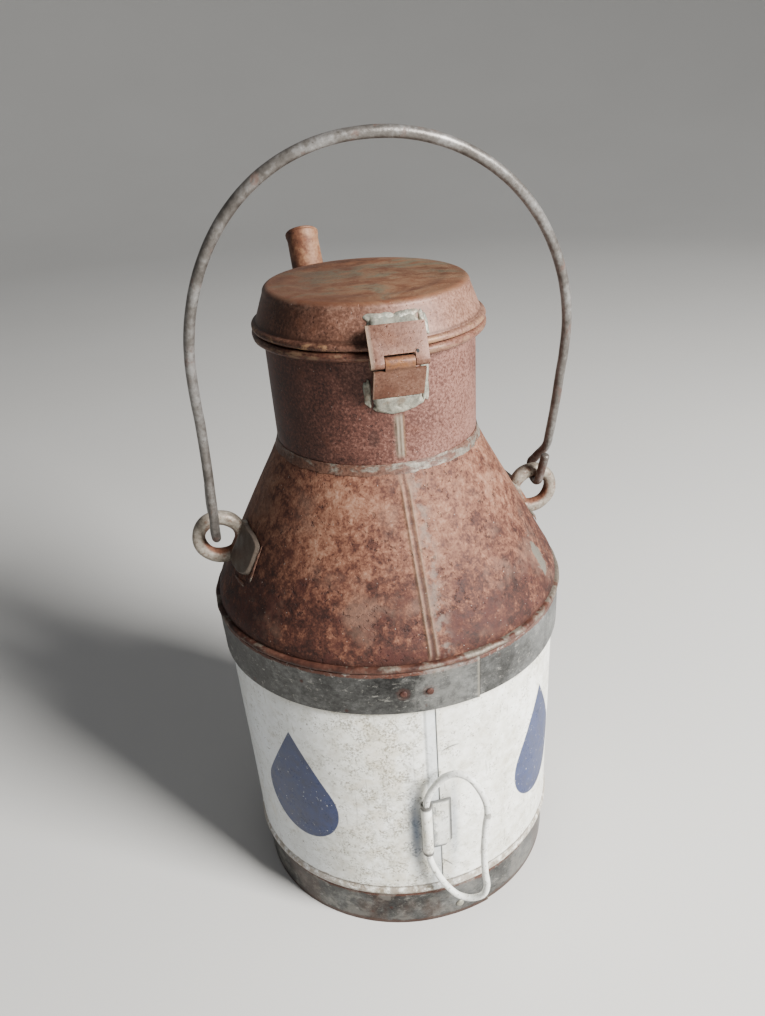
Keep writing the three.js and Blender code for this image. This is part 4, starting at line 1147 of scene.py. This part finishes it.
def top_band_zinc():
    """The top band, with a ring of rust round each rivet and a pale step at its overlap."""
    f, rough, metal, bump = zinc("top_band_zinc", 226.5, 230.5, 0.96)
    bearing = f.bearing()
    for turn in (-9.3, -1.4):
        near = ((bearing - turn) * 2.0) ** 2.0
        spot = (near + (f.z - 215.7) * (f.z - 215.7)) ** 0.5
        halo = (spot + f.noise(3, 3, 0.6) * 3).ease(6.8, 4.6)
        f.coat(halo * 0.5, deep(104, 62, 50))
    stain = (bearing - 1.5).bell(0, 3.2) * f.z.ease(222, 230) * f.noise(5, 3, 0.6, shift=4).ease(0.35, 0.55)
    f.coat(stain * 0.6, deep(188, 180, 166))
    pale = (bearing.bell(4, 15) * 0.3 + f.noise(7, 5, 0.75, 0.4, shift=27) * 0.7).ease(0.5, 0.7)
    f.coat(pale * 0.5, deep(190, 190, 186))
    step = bearing.bell(14.1, 0.5) * 0.7
    f.coat(step, deep(196, 190, 176))
    dark = bearing.bell(14.7, 0.25) * 0.6
    f.coat(dark, deep(58, 50, 44))
    return f.connect(rough, metal, bump)


def base_band_zinc():
    """The base band: greyer and browner, with rust along the floor edge and under the body."""
    f, rough, metal, bump = zinc("base_band_zinc", 26, 34, 0.98)
    worn = f.noise(13, 5, 0.72, 0.3, shift=16).ease(0.47, 0.62)
    f.coat(worn * 0.45, deep(190, 186, 178))
    floor = (f.z.ease(7, 0) * 0.6 + f.noise(7, 4, 0.65, shift=12) * 0.6).ease(0.48, 0.72)
    f.coat(floor * 0.7, deep(112, 74, 58))
    brown = f.noise(24, 3, 0.6, stretch=(1, 1, 0.5), shift=14).ease(0.48, 0.66)
    f.coat(brown * 0.42, deep(122, 96, 82))
    step = f.bearing().bell(18.8, 0.45) * 0.6
    f.coat(step, deep(190, 182, 168))
    return f.connect(rough, metal, bump)


def seam_rust():
    """The hammered rim: rust with the zinc rubbed bright along its crest in places."""
    f = Finish("seam_rust")
    grain = f.noise(1.8, 3, 0.6)
    clouds = f.noise(8, 4, 0.65, shift=3)
    f.colour = f.ramp(clouds, [
        (0.3, deep(66, 40, 33)),
        (0.5, deep(106, 68, 55)),
        (0.72, deep(140, 102, 86)),
    ])
    # bare zinc on the crest is wear; the side term adds a little more of it on the right as painted light
    bare = (f.noise(19, 4, 0.66, shift=5) + f.side() * 0.08).ease(0.46, 0.58) * f.z.ease(231.6, 233.6)
    f.coat(bare * 0.8, f.ramp(grain, [(0.3, deep(146, 136, 122)), (0.7, deep(198, 190, 176))]))
    bump = f.layers((clouds, 0.4), (grain, 0.2, 0.9))
    return f.connect(0.6, bare * 0.4 + 0.08, bump)


def drop_mark(f, turn, height, size):
    """A plain drop as a mask on the wall: a disc, and above it a wedge that touches its sides
    and meets at a point two radii above its middle."""
    side = (f.bearing() - turn) * (BODY_RADIUS * math.pi / 180 / size)
    up = (f.z - height) * (1 / size)
    disc = ((side * side + up * up) ** 0.5).ease(1.01, 0.985)
    wide = side.math("ABSOLUTE") - (2 - up) * math.tan(math.radians(30))
    wedge = wide.ease(0.012, -0.012) * up.ease(0.49, 0.51)
    return disc.math("MAXIMUM", wedge)


def body_paint(name="body_paint", marks=True):
    """Chalked ivory paint: fine specks, stains, painted bluish shade on the left, scratches, chips."""
    f = Finish(name)
    bearing = f.bearing()
    clouds = f.noise(34, 4, 0.6, 0.3)
    mottle = f.noise(6, 4, 0.62, shift=2)
    fine = f.noise(1.5, 3, 0.65, shift=5)
    f.colour = f.ramp(mottle * 0.5 + clouds * 0.5, [
        (0.34, linear(196, 192, 178)),
        (0.47, linear(221, 220, 210)),
        (0.60, linear(243, 243, 237)),
    ])
    # painted shade: bluish grey over the left side
    painted_left_shade = f.side().ease(-0.4, -0.9) * (0.4 + clouds * 0.4)
    f.coat(painted_left_shade, linear(182, 190, 200))
    warm = (f.noise(20, 4, 0.65, 0.6, shift=8) + bearing.bell(-14, 14) * 0.14).ease(0.55, 0.75)
    f.coat(warm * 0.4, linear(196, 184, 158))
    dirt = (fine + bearing.bell(-16, 20) * 0.07).ease(0.5, 0.66)
    dirt = dirt * (f.noise(12, 5, 0.7, shift=3) + bearing.bell(-20, 14) * 0.1).ease(0.5, 0.64)
    f.coat(dirt * 0.75, linear(110, 104, 86))
    smudge = f.noise(9, 5, 0.75, 0.4, shift=23).ease(0.52, 0.68)
    f.coat(smudge * 0.42, linear(142, 138, 122))
    specks = f.noise(2.1, 2, 0.5, shift=11).ease(0.66, 0.73)
    f.coat(specks * 0.75, linear(88, 80, 68))
    scratch = f.noise(5.5, 2, 0.5, stretch=(1.6, 1.6, 0.16), shift=13).ease(0.685, 0.71)
    f.coat(scratch * 0.45, linear(150, 145, 136))
    metal = specks * 0.1
    bump = f.layers((mottle, 0.1, 0.8), (fine, 0.06, 0.8))
    if marks:
        sideways = bearing * (BODY_RADIUS * math.pi / 180)
        front = f.front()
        # painted shade: bluish grey over the seam's folded strip
        band = sideways.ease(-9.5, -4.5) * sideways.ease(0.6, 0.2) * front
        f.coat(band * 0.4, linear(190, 200, 212))
        line = sideways.bell(0.48, 0.6) * front * f.z.ease(43, 46)
        f.coat(line * 0.95, linear(46, 52, 60))
        crack = (f.z - 161 - sideways * 0.75 + sideways * sideways * 0.03).bell(0, 0.55)
        crack = crack * sideways.ease(3, 5) * sideways.ease(17, 12) * front
        lower = (f.z - 66 + sideways * 1.2).bell(0, 0.7) * sideways.ease(0.5, 2)
        crack = crack + lower * sideways.ease(9, 7) * front
        f.coat(crack * 0.8, linear(40, 38, 36))
        shade = (sideways.bell(-16, 4.6) + sideways.bell(10.5, 3.0) * 0.6) * f.z.bell(97, 38) * front
        f.coat(shade * 0.85, linear(78, 96, 122))
        top = f.z.ease(194, 200)
        f.coat(top * (0.25 + mottle * 0.5), linear(176, 170, 156))
        hem = f.z.ease(45.5, 41.5)
        # grime along the hem
        darkening = (hem * 0.4 + f.noise(5, 4, 0.7, shift=15) * 0.7).ease(0.62, 0.8)
        f.coat(darkening * 0.75, linear(104, 88, 72))
        # painted shade: dark lines along both edges of the bottom bead
        bead_edge_shade = f.z.bell(41.6, 0.7) + f.z.bell(34.6, 0.8)
        f.coat(bead_edge_shade * 0.7, linear(74, 66, 56))
        rust = (f.z.ease(37, 34) * 0.4 + f.noise(8, 4, 0.65, shift=17) * 0.6).ease(0.66, 0.78)
        f.coat(rust * 0.8, linear(104, 62, 44))
        wear = f.noise(3.2, 4, 0.7, shift=19).ease(0.37, 0.3)
        nick = f.noise(9, 4, 0.7, 1.0, shift=21).ease(0.3, 0.27)
        for turn, size in ((-50.4, 31.0), (47.5, 31.0)):
            mark = drop_mark(f, turn, 108.0, size) * (1 - wear * 0.6) * (1 - nick * 0.9)
            shade_of = f.ramp(mottle, [(0.3, linear(4, 21, 62)), (0.7, linear(9, 36, 88))])
            f.coat(mark * 0.96, shade_of)
            bump = f.bump(mark, 0.05, 0.6, bump)
    else:
        rim = (f.z - TILT_MIDDLE).math("ABSOLUTE").ease(18.8, 20.8)
        rim = rim.math("MAXIMUM", bearing.ease(2.7, 3.5)).math("MAXIMUM", bearing.bell(-2.6, 0.5))
        f.coat(rim * (0.5 + clouds * 0.6), linear(52, 54, 58))
        # dark streaks beside the tube: grime, and painted shade on the plate next to the tube
        valley = bearing.bell(-1.7, 0.8) * f.noise(3, 4, 0.7, stretch=(1, 1, 0.6), shift=29).ease(0.4, 0.6)
        f.coat(valley * 0.7, linear(92, 96, 100))
        ends = (f.z - TILT_MIDDLE).math("ABSOLUTE").ease(19.4, 22.2) * bearing.ease(-2.4, -3.2)
        f.coat(ends * 0.7, linear(70, 66, 62))
        streak = f.noise(4, 4, 0.7, stretch=(1.5, 1.5, 0.4), shift=25).ease(0.56, 0.66)
        f.coat(streak * 0.5, linear(104, 104, 102))
    chalk = 0.42 + (mottle - 0.5) * 0.3 + dirt * 0.25
    return f.connect(chalk, metal, bump)


def loop_paint():
    """Paint over wire, worn to grey steel in patches and near the bracket."""
    f = Finish("loop_paint")
    mottle = f.noise(5, 4, 0.62, shift=2)
    fine = f.noise(1.4, 3, 0.6)
    f.colour = f.ramp(mottle, [(0.3, linear(206, 205, 198)), (0.6, linear(233, 234, 229))])
    bends = f.noise(7, 4, 0.7, 0.4, shift=5) + f.z.bell(125, 5) * 0.12 + f.z.bell(79, 5) * 0.12
    worn = bends.ease(0.6, 0.7)
    steel = f.ramp(fine, [(0.3, linear(92, 86, 78)), (0.7, linear(142, 136, 126))])
    f.coat(worn * 0.6, steel)
    # dark specks of grime
    darkening = f.noise(2.2, 3, 0.6, shift=9).ease(0.56, 0.7)
    f.coat(darkening * 0.7, linear(98, 93, 84))
    bump = f.bump(mottle - worn * 0.4, 0.1)
    return f.connect(0.4 + worn * 0.15, worn * 0.6, f.bump(fine, 0.05, 0.8, bump))


def bail_finish():
    """Dull grey-tan wire with brown patches, darker and rustier by the hooks."""
    f = Finish("bail_wire")
    clouds = f.noise(24, 4, 0.62, shift=1)
    fine = f.noise(2.4, 4, 0.65, shift=3)
    grain = f.noise(0.9, 2, 0.6, shift=5)
    f.colour = f.ramp(clouds * 0.66 + fine * 0.34, [
        (0.34, deep(92, 85, 80)),
        (0.5, deep(142, 137, 132)),
        (0.64, deep(186, 184, 182)),
    ])
    brown = f.noise(13, 4, 0.66, 0.5, shift=7).ease(0.56, 0.68)
    f.coat(brown * 0.55, deep(122, 84, 70))
    hook = f.z.ease(309, 296) * f.x.ease(0, 20)
    f.coat(hook * f.noise(4, 3, 0.6, shift=9).ease(0.3, 0.55) * 0.75, deep(96, 58, 44))
    pits = f.noise(1.8, 2, 0.5, shift=11).ease(0.66, 0.74)
    f.coat(pits * 0.6, deep(78, 62, 54))
    bump = f.layers((fine - brown * 0.3, 0.16), (grain, 0.06, 0.8))
    metal = 0.5 - brown * 0.35 - hook * 0.3
    return f.connect(0.42 + brown * 0.25 + (fine - 0.5) * 0.2, metal, bump)


def lug_finish(name, left):
    """Whitish grey bar with rust inside the eye; the tongues are bare and dark, the left one a little
    darker as painted shade.
    """
    f = Finish(name)
    clouds = f.noise(9, 4, 0.64, shift=2)
    fine = f.noise(1.7, 3, 0.62, shift=4)
    f.colour = f.ramp(clouds * 0.5 + fine * 0.5, [
        (0.3, deep(124, 114, 102, 0.56)),
        (0.5, deep(178, 168, 155, 0.56)),
        (0.7, deep(212, 206, 195, 0.56)),
    ])
    reach = LEFT_EYE_REACH if left else RIGHT_EYE_REACH
    out = (f.x * -1 if left else f.x) - reach
    up = f.z - LUG_HEIGHT
    ring = (out * out + up * up) ** 0.5
    inside = ring.ease(12.2, 9.4) * (f.y * f.y).ease(26, 9)
    lower = (up * -1 + f.noise(4, 3, 0.6) * 6).ease(-1, 6)
    rust = inside * (0.25 + lower * 0.75)
    f.coat(rust * 0.85, f.ramp(fine, [(0.3, deep(112, 60, 36)), (0.7, deep(170, 104, 66))]))
    spots = f.noise(5, 4, 0.68, shift=8).ease(0.52, 0.64)
    f.coat(spots * 0.6, deep(140, 96, 72))
    flat = (f.y * f.y).ease(22, 40)
    # the tongues' bare metal is real; the left one's darker colour is painted shade
    bare = deep(116, 102, 92) if left else deep(128, 112, 100)
    f.coat(flat * (0.7 + clouds * 0.3), bare)
    bump = f.layers((clouds, 0.35), (fine, 0.14, 0.9))
    return f.connect(0.5 + rust * 0.25 + (clouds - 0.5) * 0.25, 0.3, bump)


def spout_rust():
    """Tan and brown rust on the spout, with painted shade that makes it darker to the left."""
    f = Finish("spout_rust")
    clouds = f.noise(12, 4, 0.64, 0.4, shift=2)
    fine = f.noise(2.2, 4, 0.65, shift=4)
    # painted shade: the x term makes the spout darker towards the left
    tone = f.x.ease(-22, 10) * 0.34 + (clouds - 0.5) * 1.1 + (fine - 0.5) * 0.6 + 0.36
    f.colour = f.ramp(tone, [
        (0.1, deep(86, 54, 42)),
        (0.4, deep(140, 96, 74)),
        (0.65, deep(182, 140, 110)),
        (0.95, deep(208, 172, 142)),
    ])
    orange = f.noise(8, 4, 0.65, shift=8).ease(0.56, 0.7)
    f.coat(orange * 0.5, deep(152, 86, 54))
    pits = f.noise(2.0, 2, 0.5, shift=10).ease(0.66, 0.74)
    f.coat(pits * 0.6, deep(70, 42, 34))
    relief = rust_relief(f, clouds, pits, fine, 0.8)
    return f.connect(0.58, 0.1, relief)


def solder():
    """Dull solder: grey, with greenish white bloom, cream patches and brown stains."""
    f = Finish("solder")
    clouds = f.noise(7, 4, 0.66, 0.4, shift=3)
    fine = f.noise(1.6, 3, 0.65, shift=5)
    f.colour = f.ramp(clouds * 0.65 + fine * 0.35, [
        (0.3, deep(118, 116, 108, 0.6)),
        (0.46, deep(164, 162, 150, 0.6)),
        (0.6, deep(194, 191, 176, 0.6)),
        (0.74, deep(216, 210, 194, 0.6)),
    ])
    stain = f.noise(10, 4, 0.65, shift=9).ease(0.55, 0.68)
    f.coat(stain * 0.45, deep(150, 116, 88))
    bloom = f.noise(5, 3, 0.6, shift=12).ease(0.56, 0.68)
    f.coat(bloom * 0.4, deep(184, 194, 184, 0.6))
    bump = f.layers((clouds, 0.45), (fine, 0.2, 0.9))
    return f.connect(0.48 + (clouds - 0.5) * 0.3, 0.35, bump)


def joint_solder():
    """The neck joint's thin fillet: mostly rusted over, with pale bare solder in patches, and painted light
    that shows more of it on the right than on the left.
    """
    f = Finish("joint_solder")
    bearing = f.bearing()
    clouds = f.noise(8, 5, 0.7, 0.3, stretch=(0.6, 0.6, 1.4), shift=3)
    fine = f.noise(1.6, 3, 0.65, shift=5)
    pale = f.ramp(fine, [(0.3, deep(138, 134, 124)), (0.7, deep(190, 184, 172))])
    rusty = f.ramp(fine, [(0.3, deep(92, 62, 52)), (0.7, deep(150, 112, 94))])
    # bare solder in patches is real; the side term adds more of it on the right as painted light
    bare = (clouds + f.side() * 0.06 + bearing.bell(8, 9) * 0.1).ease(0.48, 0.64)
    f.colour = f.blend(bare * 0.9, rusty, pale)
    bump = f.layers((clouds, 0.4), (fine, 0.2, 0.9))
    return f.connect(0.55, bare * 0.3, bump)


def rivet_rust():
    """Dark rusted rivet heads, a little metallic in patches."""
    f = Finish("rivet_rust")
    fine = f.noise(1.6, 3, 0.65)
    clouds = f.noise(4, 3, 0.6, shift=3)
    f.colour = f.ramp(clouds * 0.5 + fine * 0.5, [
        (0.32, deep(60, 36, 31)),
        (0.5, deep(96, 58, 48)),
        (0.68, deep(132, 96, 82)),
    ])
    return f.connect(0.6, clouds.ease(0.5, 0.7) * 0.4, f.bump(fine, 0.15))


# ---------- pieces ----------
def piece(name, shells, material, body, slot, *nodes, angle=40):
    """Makes a named piece, gives it its finish, and says what it rides on and stands for."""
    made = make(name, shells, angle)
    return dress(made, material, body, slot, *nodes)


def dress(made, material, body, slot, *nodes):
    """Gives a piece its finish and the body it rides on, and hides the solids it stands for. slot is not
    used.
    """
    made.data.materials.clear()
    made.data.materials.append(material)
    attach(made, body)
    if nodes:
        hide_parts(*nodes)
    return made


NECK_RUST = neck_rust()
CONE_RUST = cone_rust()
HINGE_RUST = hinge_rust()
SOLDER = solder()
JOINT_SOLDER = joint_solder()
PAINT = body_paint()
PLAIN_PAINT = body_paint("bracket_paint", marks=False)
RIVET_RUST = rivet_rust()
BASE_ZINC = base_band_zinc()

piece("painted_wall", [(body_wall(), True)], PAINT, "can", "body_paint", "body_wall")
piece("base_hoop", [(base_band(), True)], BASE_ZINC, "can", "zinc_sheet", "base_band")
piece("pressed_bottom", [(bottom_plate(), False)], BASE_ZINC, "can", "zinc_sheet", "bottom_plate")
piece("top_hoop", [(top_band(), True)], top_band_zinc(), "can", "zinc_sheet", "top_band")
piece("rolled_seam", [(shoulder_seam(), True)], seam_rust(), "can", "cone_rust", "shoulder_seam")
piece("rusted_cone", [(shoulder_cone(), True)], CONE_RUST, "can", "cone_rust", "shoulder_cone")
piece("rusted_neck", [(neck_tube(), True)], NECK_RUST, "can", "neck_rust", "neck_tube")
piece("neck_joint_solder", [(neck_solder(), True)], JOINT_SOLDER, "can", "solder", "neck_solder")
piece("rolled_mouth", [(mouth_ring(), True)], ring_rust(), "can", "neck_rust", "mouth_ring")
piece("rusted_lid", [(lid_shell(), False)], lid_rust(), "lid", "lid_rust", "lid_shell")
RIVETS = (
    ("base_band_rivet", 1.4, 3.1, SOLDER),
    ("top_band_rivet_left", 0.8, 2.4, RIVET_RUST),
    ("top_band_rivet_right", 0.8, 2.4, RIVET_RUST),
)
for node, high, wide, finish in RIVETS:
    piece(node + "_head", [(rivet(node, high, wide), False)], finish, "can", "rivet_steel", node)

# hinge: eased copies of its solids, and the solder that holds the leaves
dress(eased_copy("lid_hinge_leaf", "lid_leaf", 0.35), HINGE_RUST, "lid", "hinge_rust", "lid_hinge_leaf")
dress(eased_copy("neck_hinge_leaf", "neck_leaf", 0.35), HINGE_RUST, "can", "hinge_rust", "neck_hinge_leaf")
dress(eased_copy("hinge_pin", "hinge_wire", 0.3), RIVET_RUST, "can", "rivet_steel", "hinge_pin")


LEAF_LEAN = math.radians(26)
KNUCKLE_RADIUS = 2.8


def leaf_point(up, along, depth):
    """A [y, z] place on a hinge leaf: up is 1 for the lid's and -1 for the neck's."""
    lean, rise = math.sin(LEAF_LEAN), math.cos(LEAF_LEAN)
    out = KNUCKLE_RADIUS - depth
    y = -PIN_DEPTH - out * rise + along * lean
    return y, PIN_HEIGHT + up * (out * lean + along * rise)


def lid_hinge_solder():
    """Solder behind the lid's leaf, a lumpy crust above it, and a run down its right side."""
    behind_leaf = [leaf_point(1, 9, 1.7), leaf_point(1, 18, 1.7)]
    wedge = rounded([*behind_leaf, (-58.3, 417.5), (-61.7, 410), (-62.5, 405)], 0.8)
    return [
        (filled(wedge, 12.5, 0.04), False),
        (puddle(on_lid(-5.5, 414.2), 8.6, 3.9, 1.25, 3), False),
        (puddle(on_lid(7.0, 415.0), 7.4, 3.2, 1.35, 5), False),
        (puddle(on_lid(15.6, 411.0), 2.6, 5.8, 1.2, 8), False),
    ]


def neck_hinge_solder():
    """Solder under the neck's leaf in a wide lip, with a run up each side of the leaf."""
    behind_leaf = [leaf_point(-1, 6, 1.7), leaf_point(-1, 22.0, 1.7), leaf_point(-1, 22.4, 0.3)]
    wedge = rounded([*behind_leaf, (-61.8, 367.2), (-60.2, 367.0), (-60.2, 392)], 0.8)
    return [
        (filled(wedge, 12.6, 0.05), False),
        (puddle(on_neck(0.5, 371.2), 13.6, 5.2, 1.5, 11), False),
        (puddle(on_neck(15.4, 382.0), 2.4, 11.5, 1.1, 13), False),
        (puddle(on_neck(-14.6, 377.5), 2.0, 7.0, 1.0, 17), False),
    ]


piece("lid_leaf_solder", lid_hinge_solder(), SOLDER, "lid", "solder", "lid_hinge_solder")
piece("neck_leaf_solder", neck_hinge_solder(), SOLDER, "can", "solder", "neck_hinge_solder")

# lugs, bail, spout and tilt handle
left_lug = [(half_turn(eye(LEFT_EYE_REACH, 0.0)), True), (half_turn(tang()), False)]
right_lug = [(eye(RIGHT_EYE_REACH, 0.1), True), (tang(), False)]
piece("left_eye_lug", left_lug, lug_finish("left_lug_metal", True), "can", "lug_zinc", "left_lug")
piece("right_eye_lug", right_lug, lug_finish("right_lug_metal", False), "can", "lug_zinc", "right_lug")

left_beads = [
    (puddle(on_cone(-68.0, 273.5, 0.1), 1.1, 11.5, 0.7, 21), False),
    (puddle(on_cone(-75.0, 259.4, 0.1), 7.0, 1.1, 0.6, 23), False),
]
right_beads = [
    (puddle(on_cone(87.5, 259.5, 0.1), 7.0, 2.6, 1.3, 27), False),
    (puddle(on_cone(112.0, 273.5, 0.1), 1.5, 11.0, 1.3, 29), False),
]
piece("left_lug_solder", left_beads, JOINT_SOLDER, "can", "solder")
piece("right_lug_solder", right_beads, JOINT_SOLDER, "can", "solder")

piece("bail_wire", [(bail_handle(), False)], bail_finish(), "bail", "bail_wire", "bail_handle", angle=60)
piece("filler_spout", [(spout_tube(), True)], spout_rust(), "can", "spout_rust", "spout_tube")
piece("spout_foot_solder", [(spout_solder(), True)], SOLDER, "can", "solder", "spout_solder")
bracket = eased_copy("tilt_handle_bracket", "rolled_bracket", 0.3)
dress(bracket, PLAIN_PAINT, "can", "body_paint", "tilt_handle_bracket")
loop = [(tilt_handle_loop(), False)]
piece("tilt_loop", loop, loop_paint(), "tilt_handle", "loop_wire", "tilt_handle_loop", angle=60)


# ---------- floor, light and camera ----------
def floor():
    """A pale floor that is flat round the can and sweeps up far away on every side: its height
    is a circle's arc of the distance past the flat part."""
    flat, bend = 2600, 3400
    outline = np.vstack([[[0, 0], [flat, 0]], arc(flat, bend, bend, -90, -10, 24)])
    made = make("floor", [(turned(outline, bearings(96)), False)])
    made.data.flip_normals()
    f = Finish("floor_paper")
    f.colour = f.blend(f.noise(400, 2, 0.5), linear(196, 195, 192), linear(202, 201, 198))
    made.data.materials.append(f.connect(0.9))


def area_light(name, place, target, size, power, tint):
    """A square soft light that faces a point."""
    light = bpy.data.lights.new(name, "AREA")
    light.size, light.energy, light.color = size, power, tint
    lamp = bpy.data.objects.new(name, light)
    lamp.location = place
    lamp.rotation_euler = (Vector(target) - Vector(place)).to_track_quat("-Z", "Y").to_euler()
    bpy.context.scene.collection.objects.link(lamp)


def studio():
    """A strong soft key from the front right, and a dim even surround."""
    area_light("key", (1.22, -1.36, 1.28), (0, 0, 0.25), 0.75, 200, (1.0, 0.985, 0.955))
    world = bpy.data.worlds.new("surround")
    world.use_nodes = True
    world.node_tree.nodes["Background"].inputs["Color"].default_value = (0.93, 0.95, 1.0, 1)
    world.node_tree.nodes["Background"].inputs["Strength"].default_value = 0.22
    bpy.context.scene.world = world


def camera():
    """A camera above the can's front left, turned by its right and up directions."""
    data = bpy.data.cameras.new("camera")
    data.lens, data.sensor_width = 30.07, 36
    data.shift_x, data.shift_y = -0.0455, 0.1032
    made = bpy.data.objects.new("camera", data)
    right, up = Vector((0.96295, -0.26687, -0.03864)), Vector((0.17883, 0.52473, 0.83228))
    back = right.cross(up)
    turn = Matrix((right, up, back)).transposed().to_4x4()
    made.matrix_world = Matrix.Translation((-0.0957, -0.4923, 0.5282)) @ turn
    bpy.context.scene.collection.objects.link(made)
    bpy.context.scene.camera = made


floor()
studio()
camera()
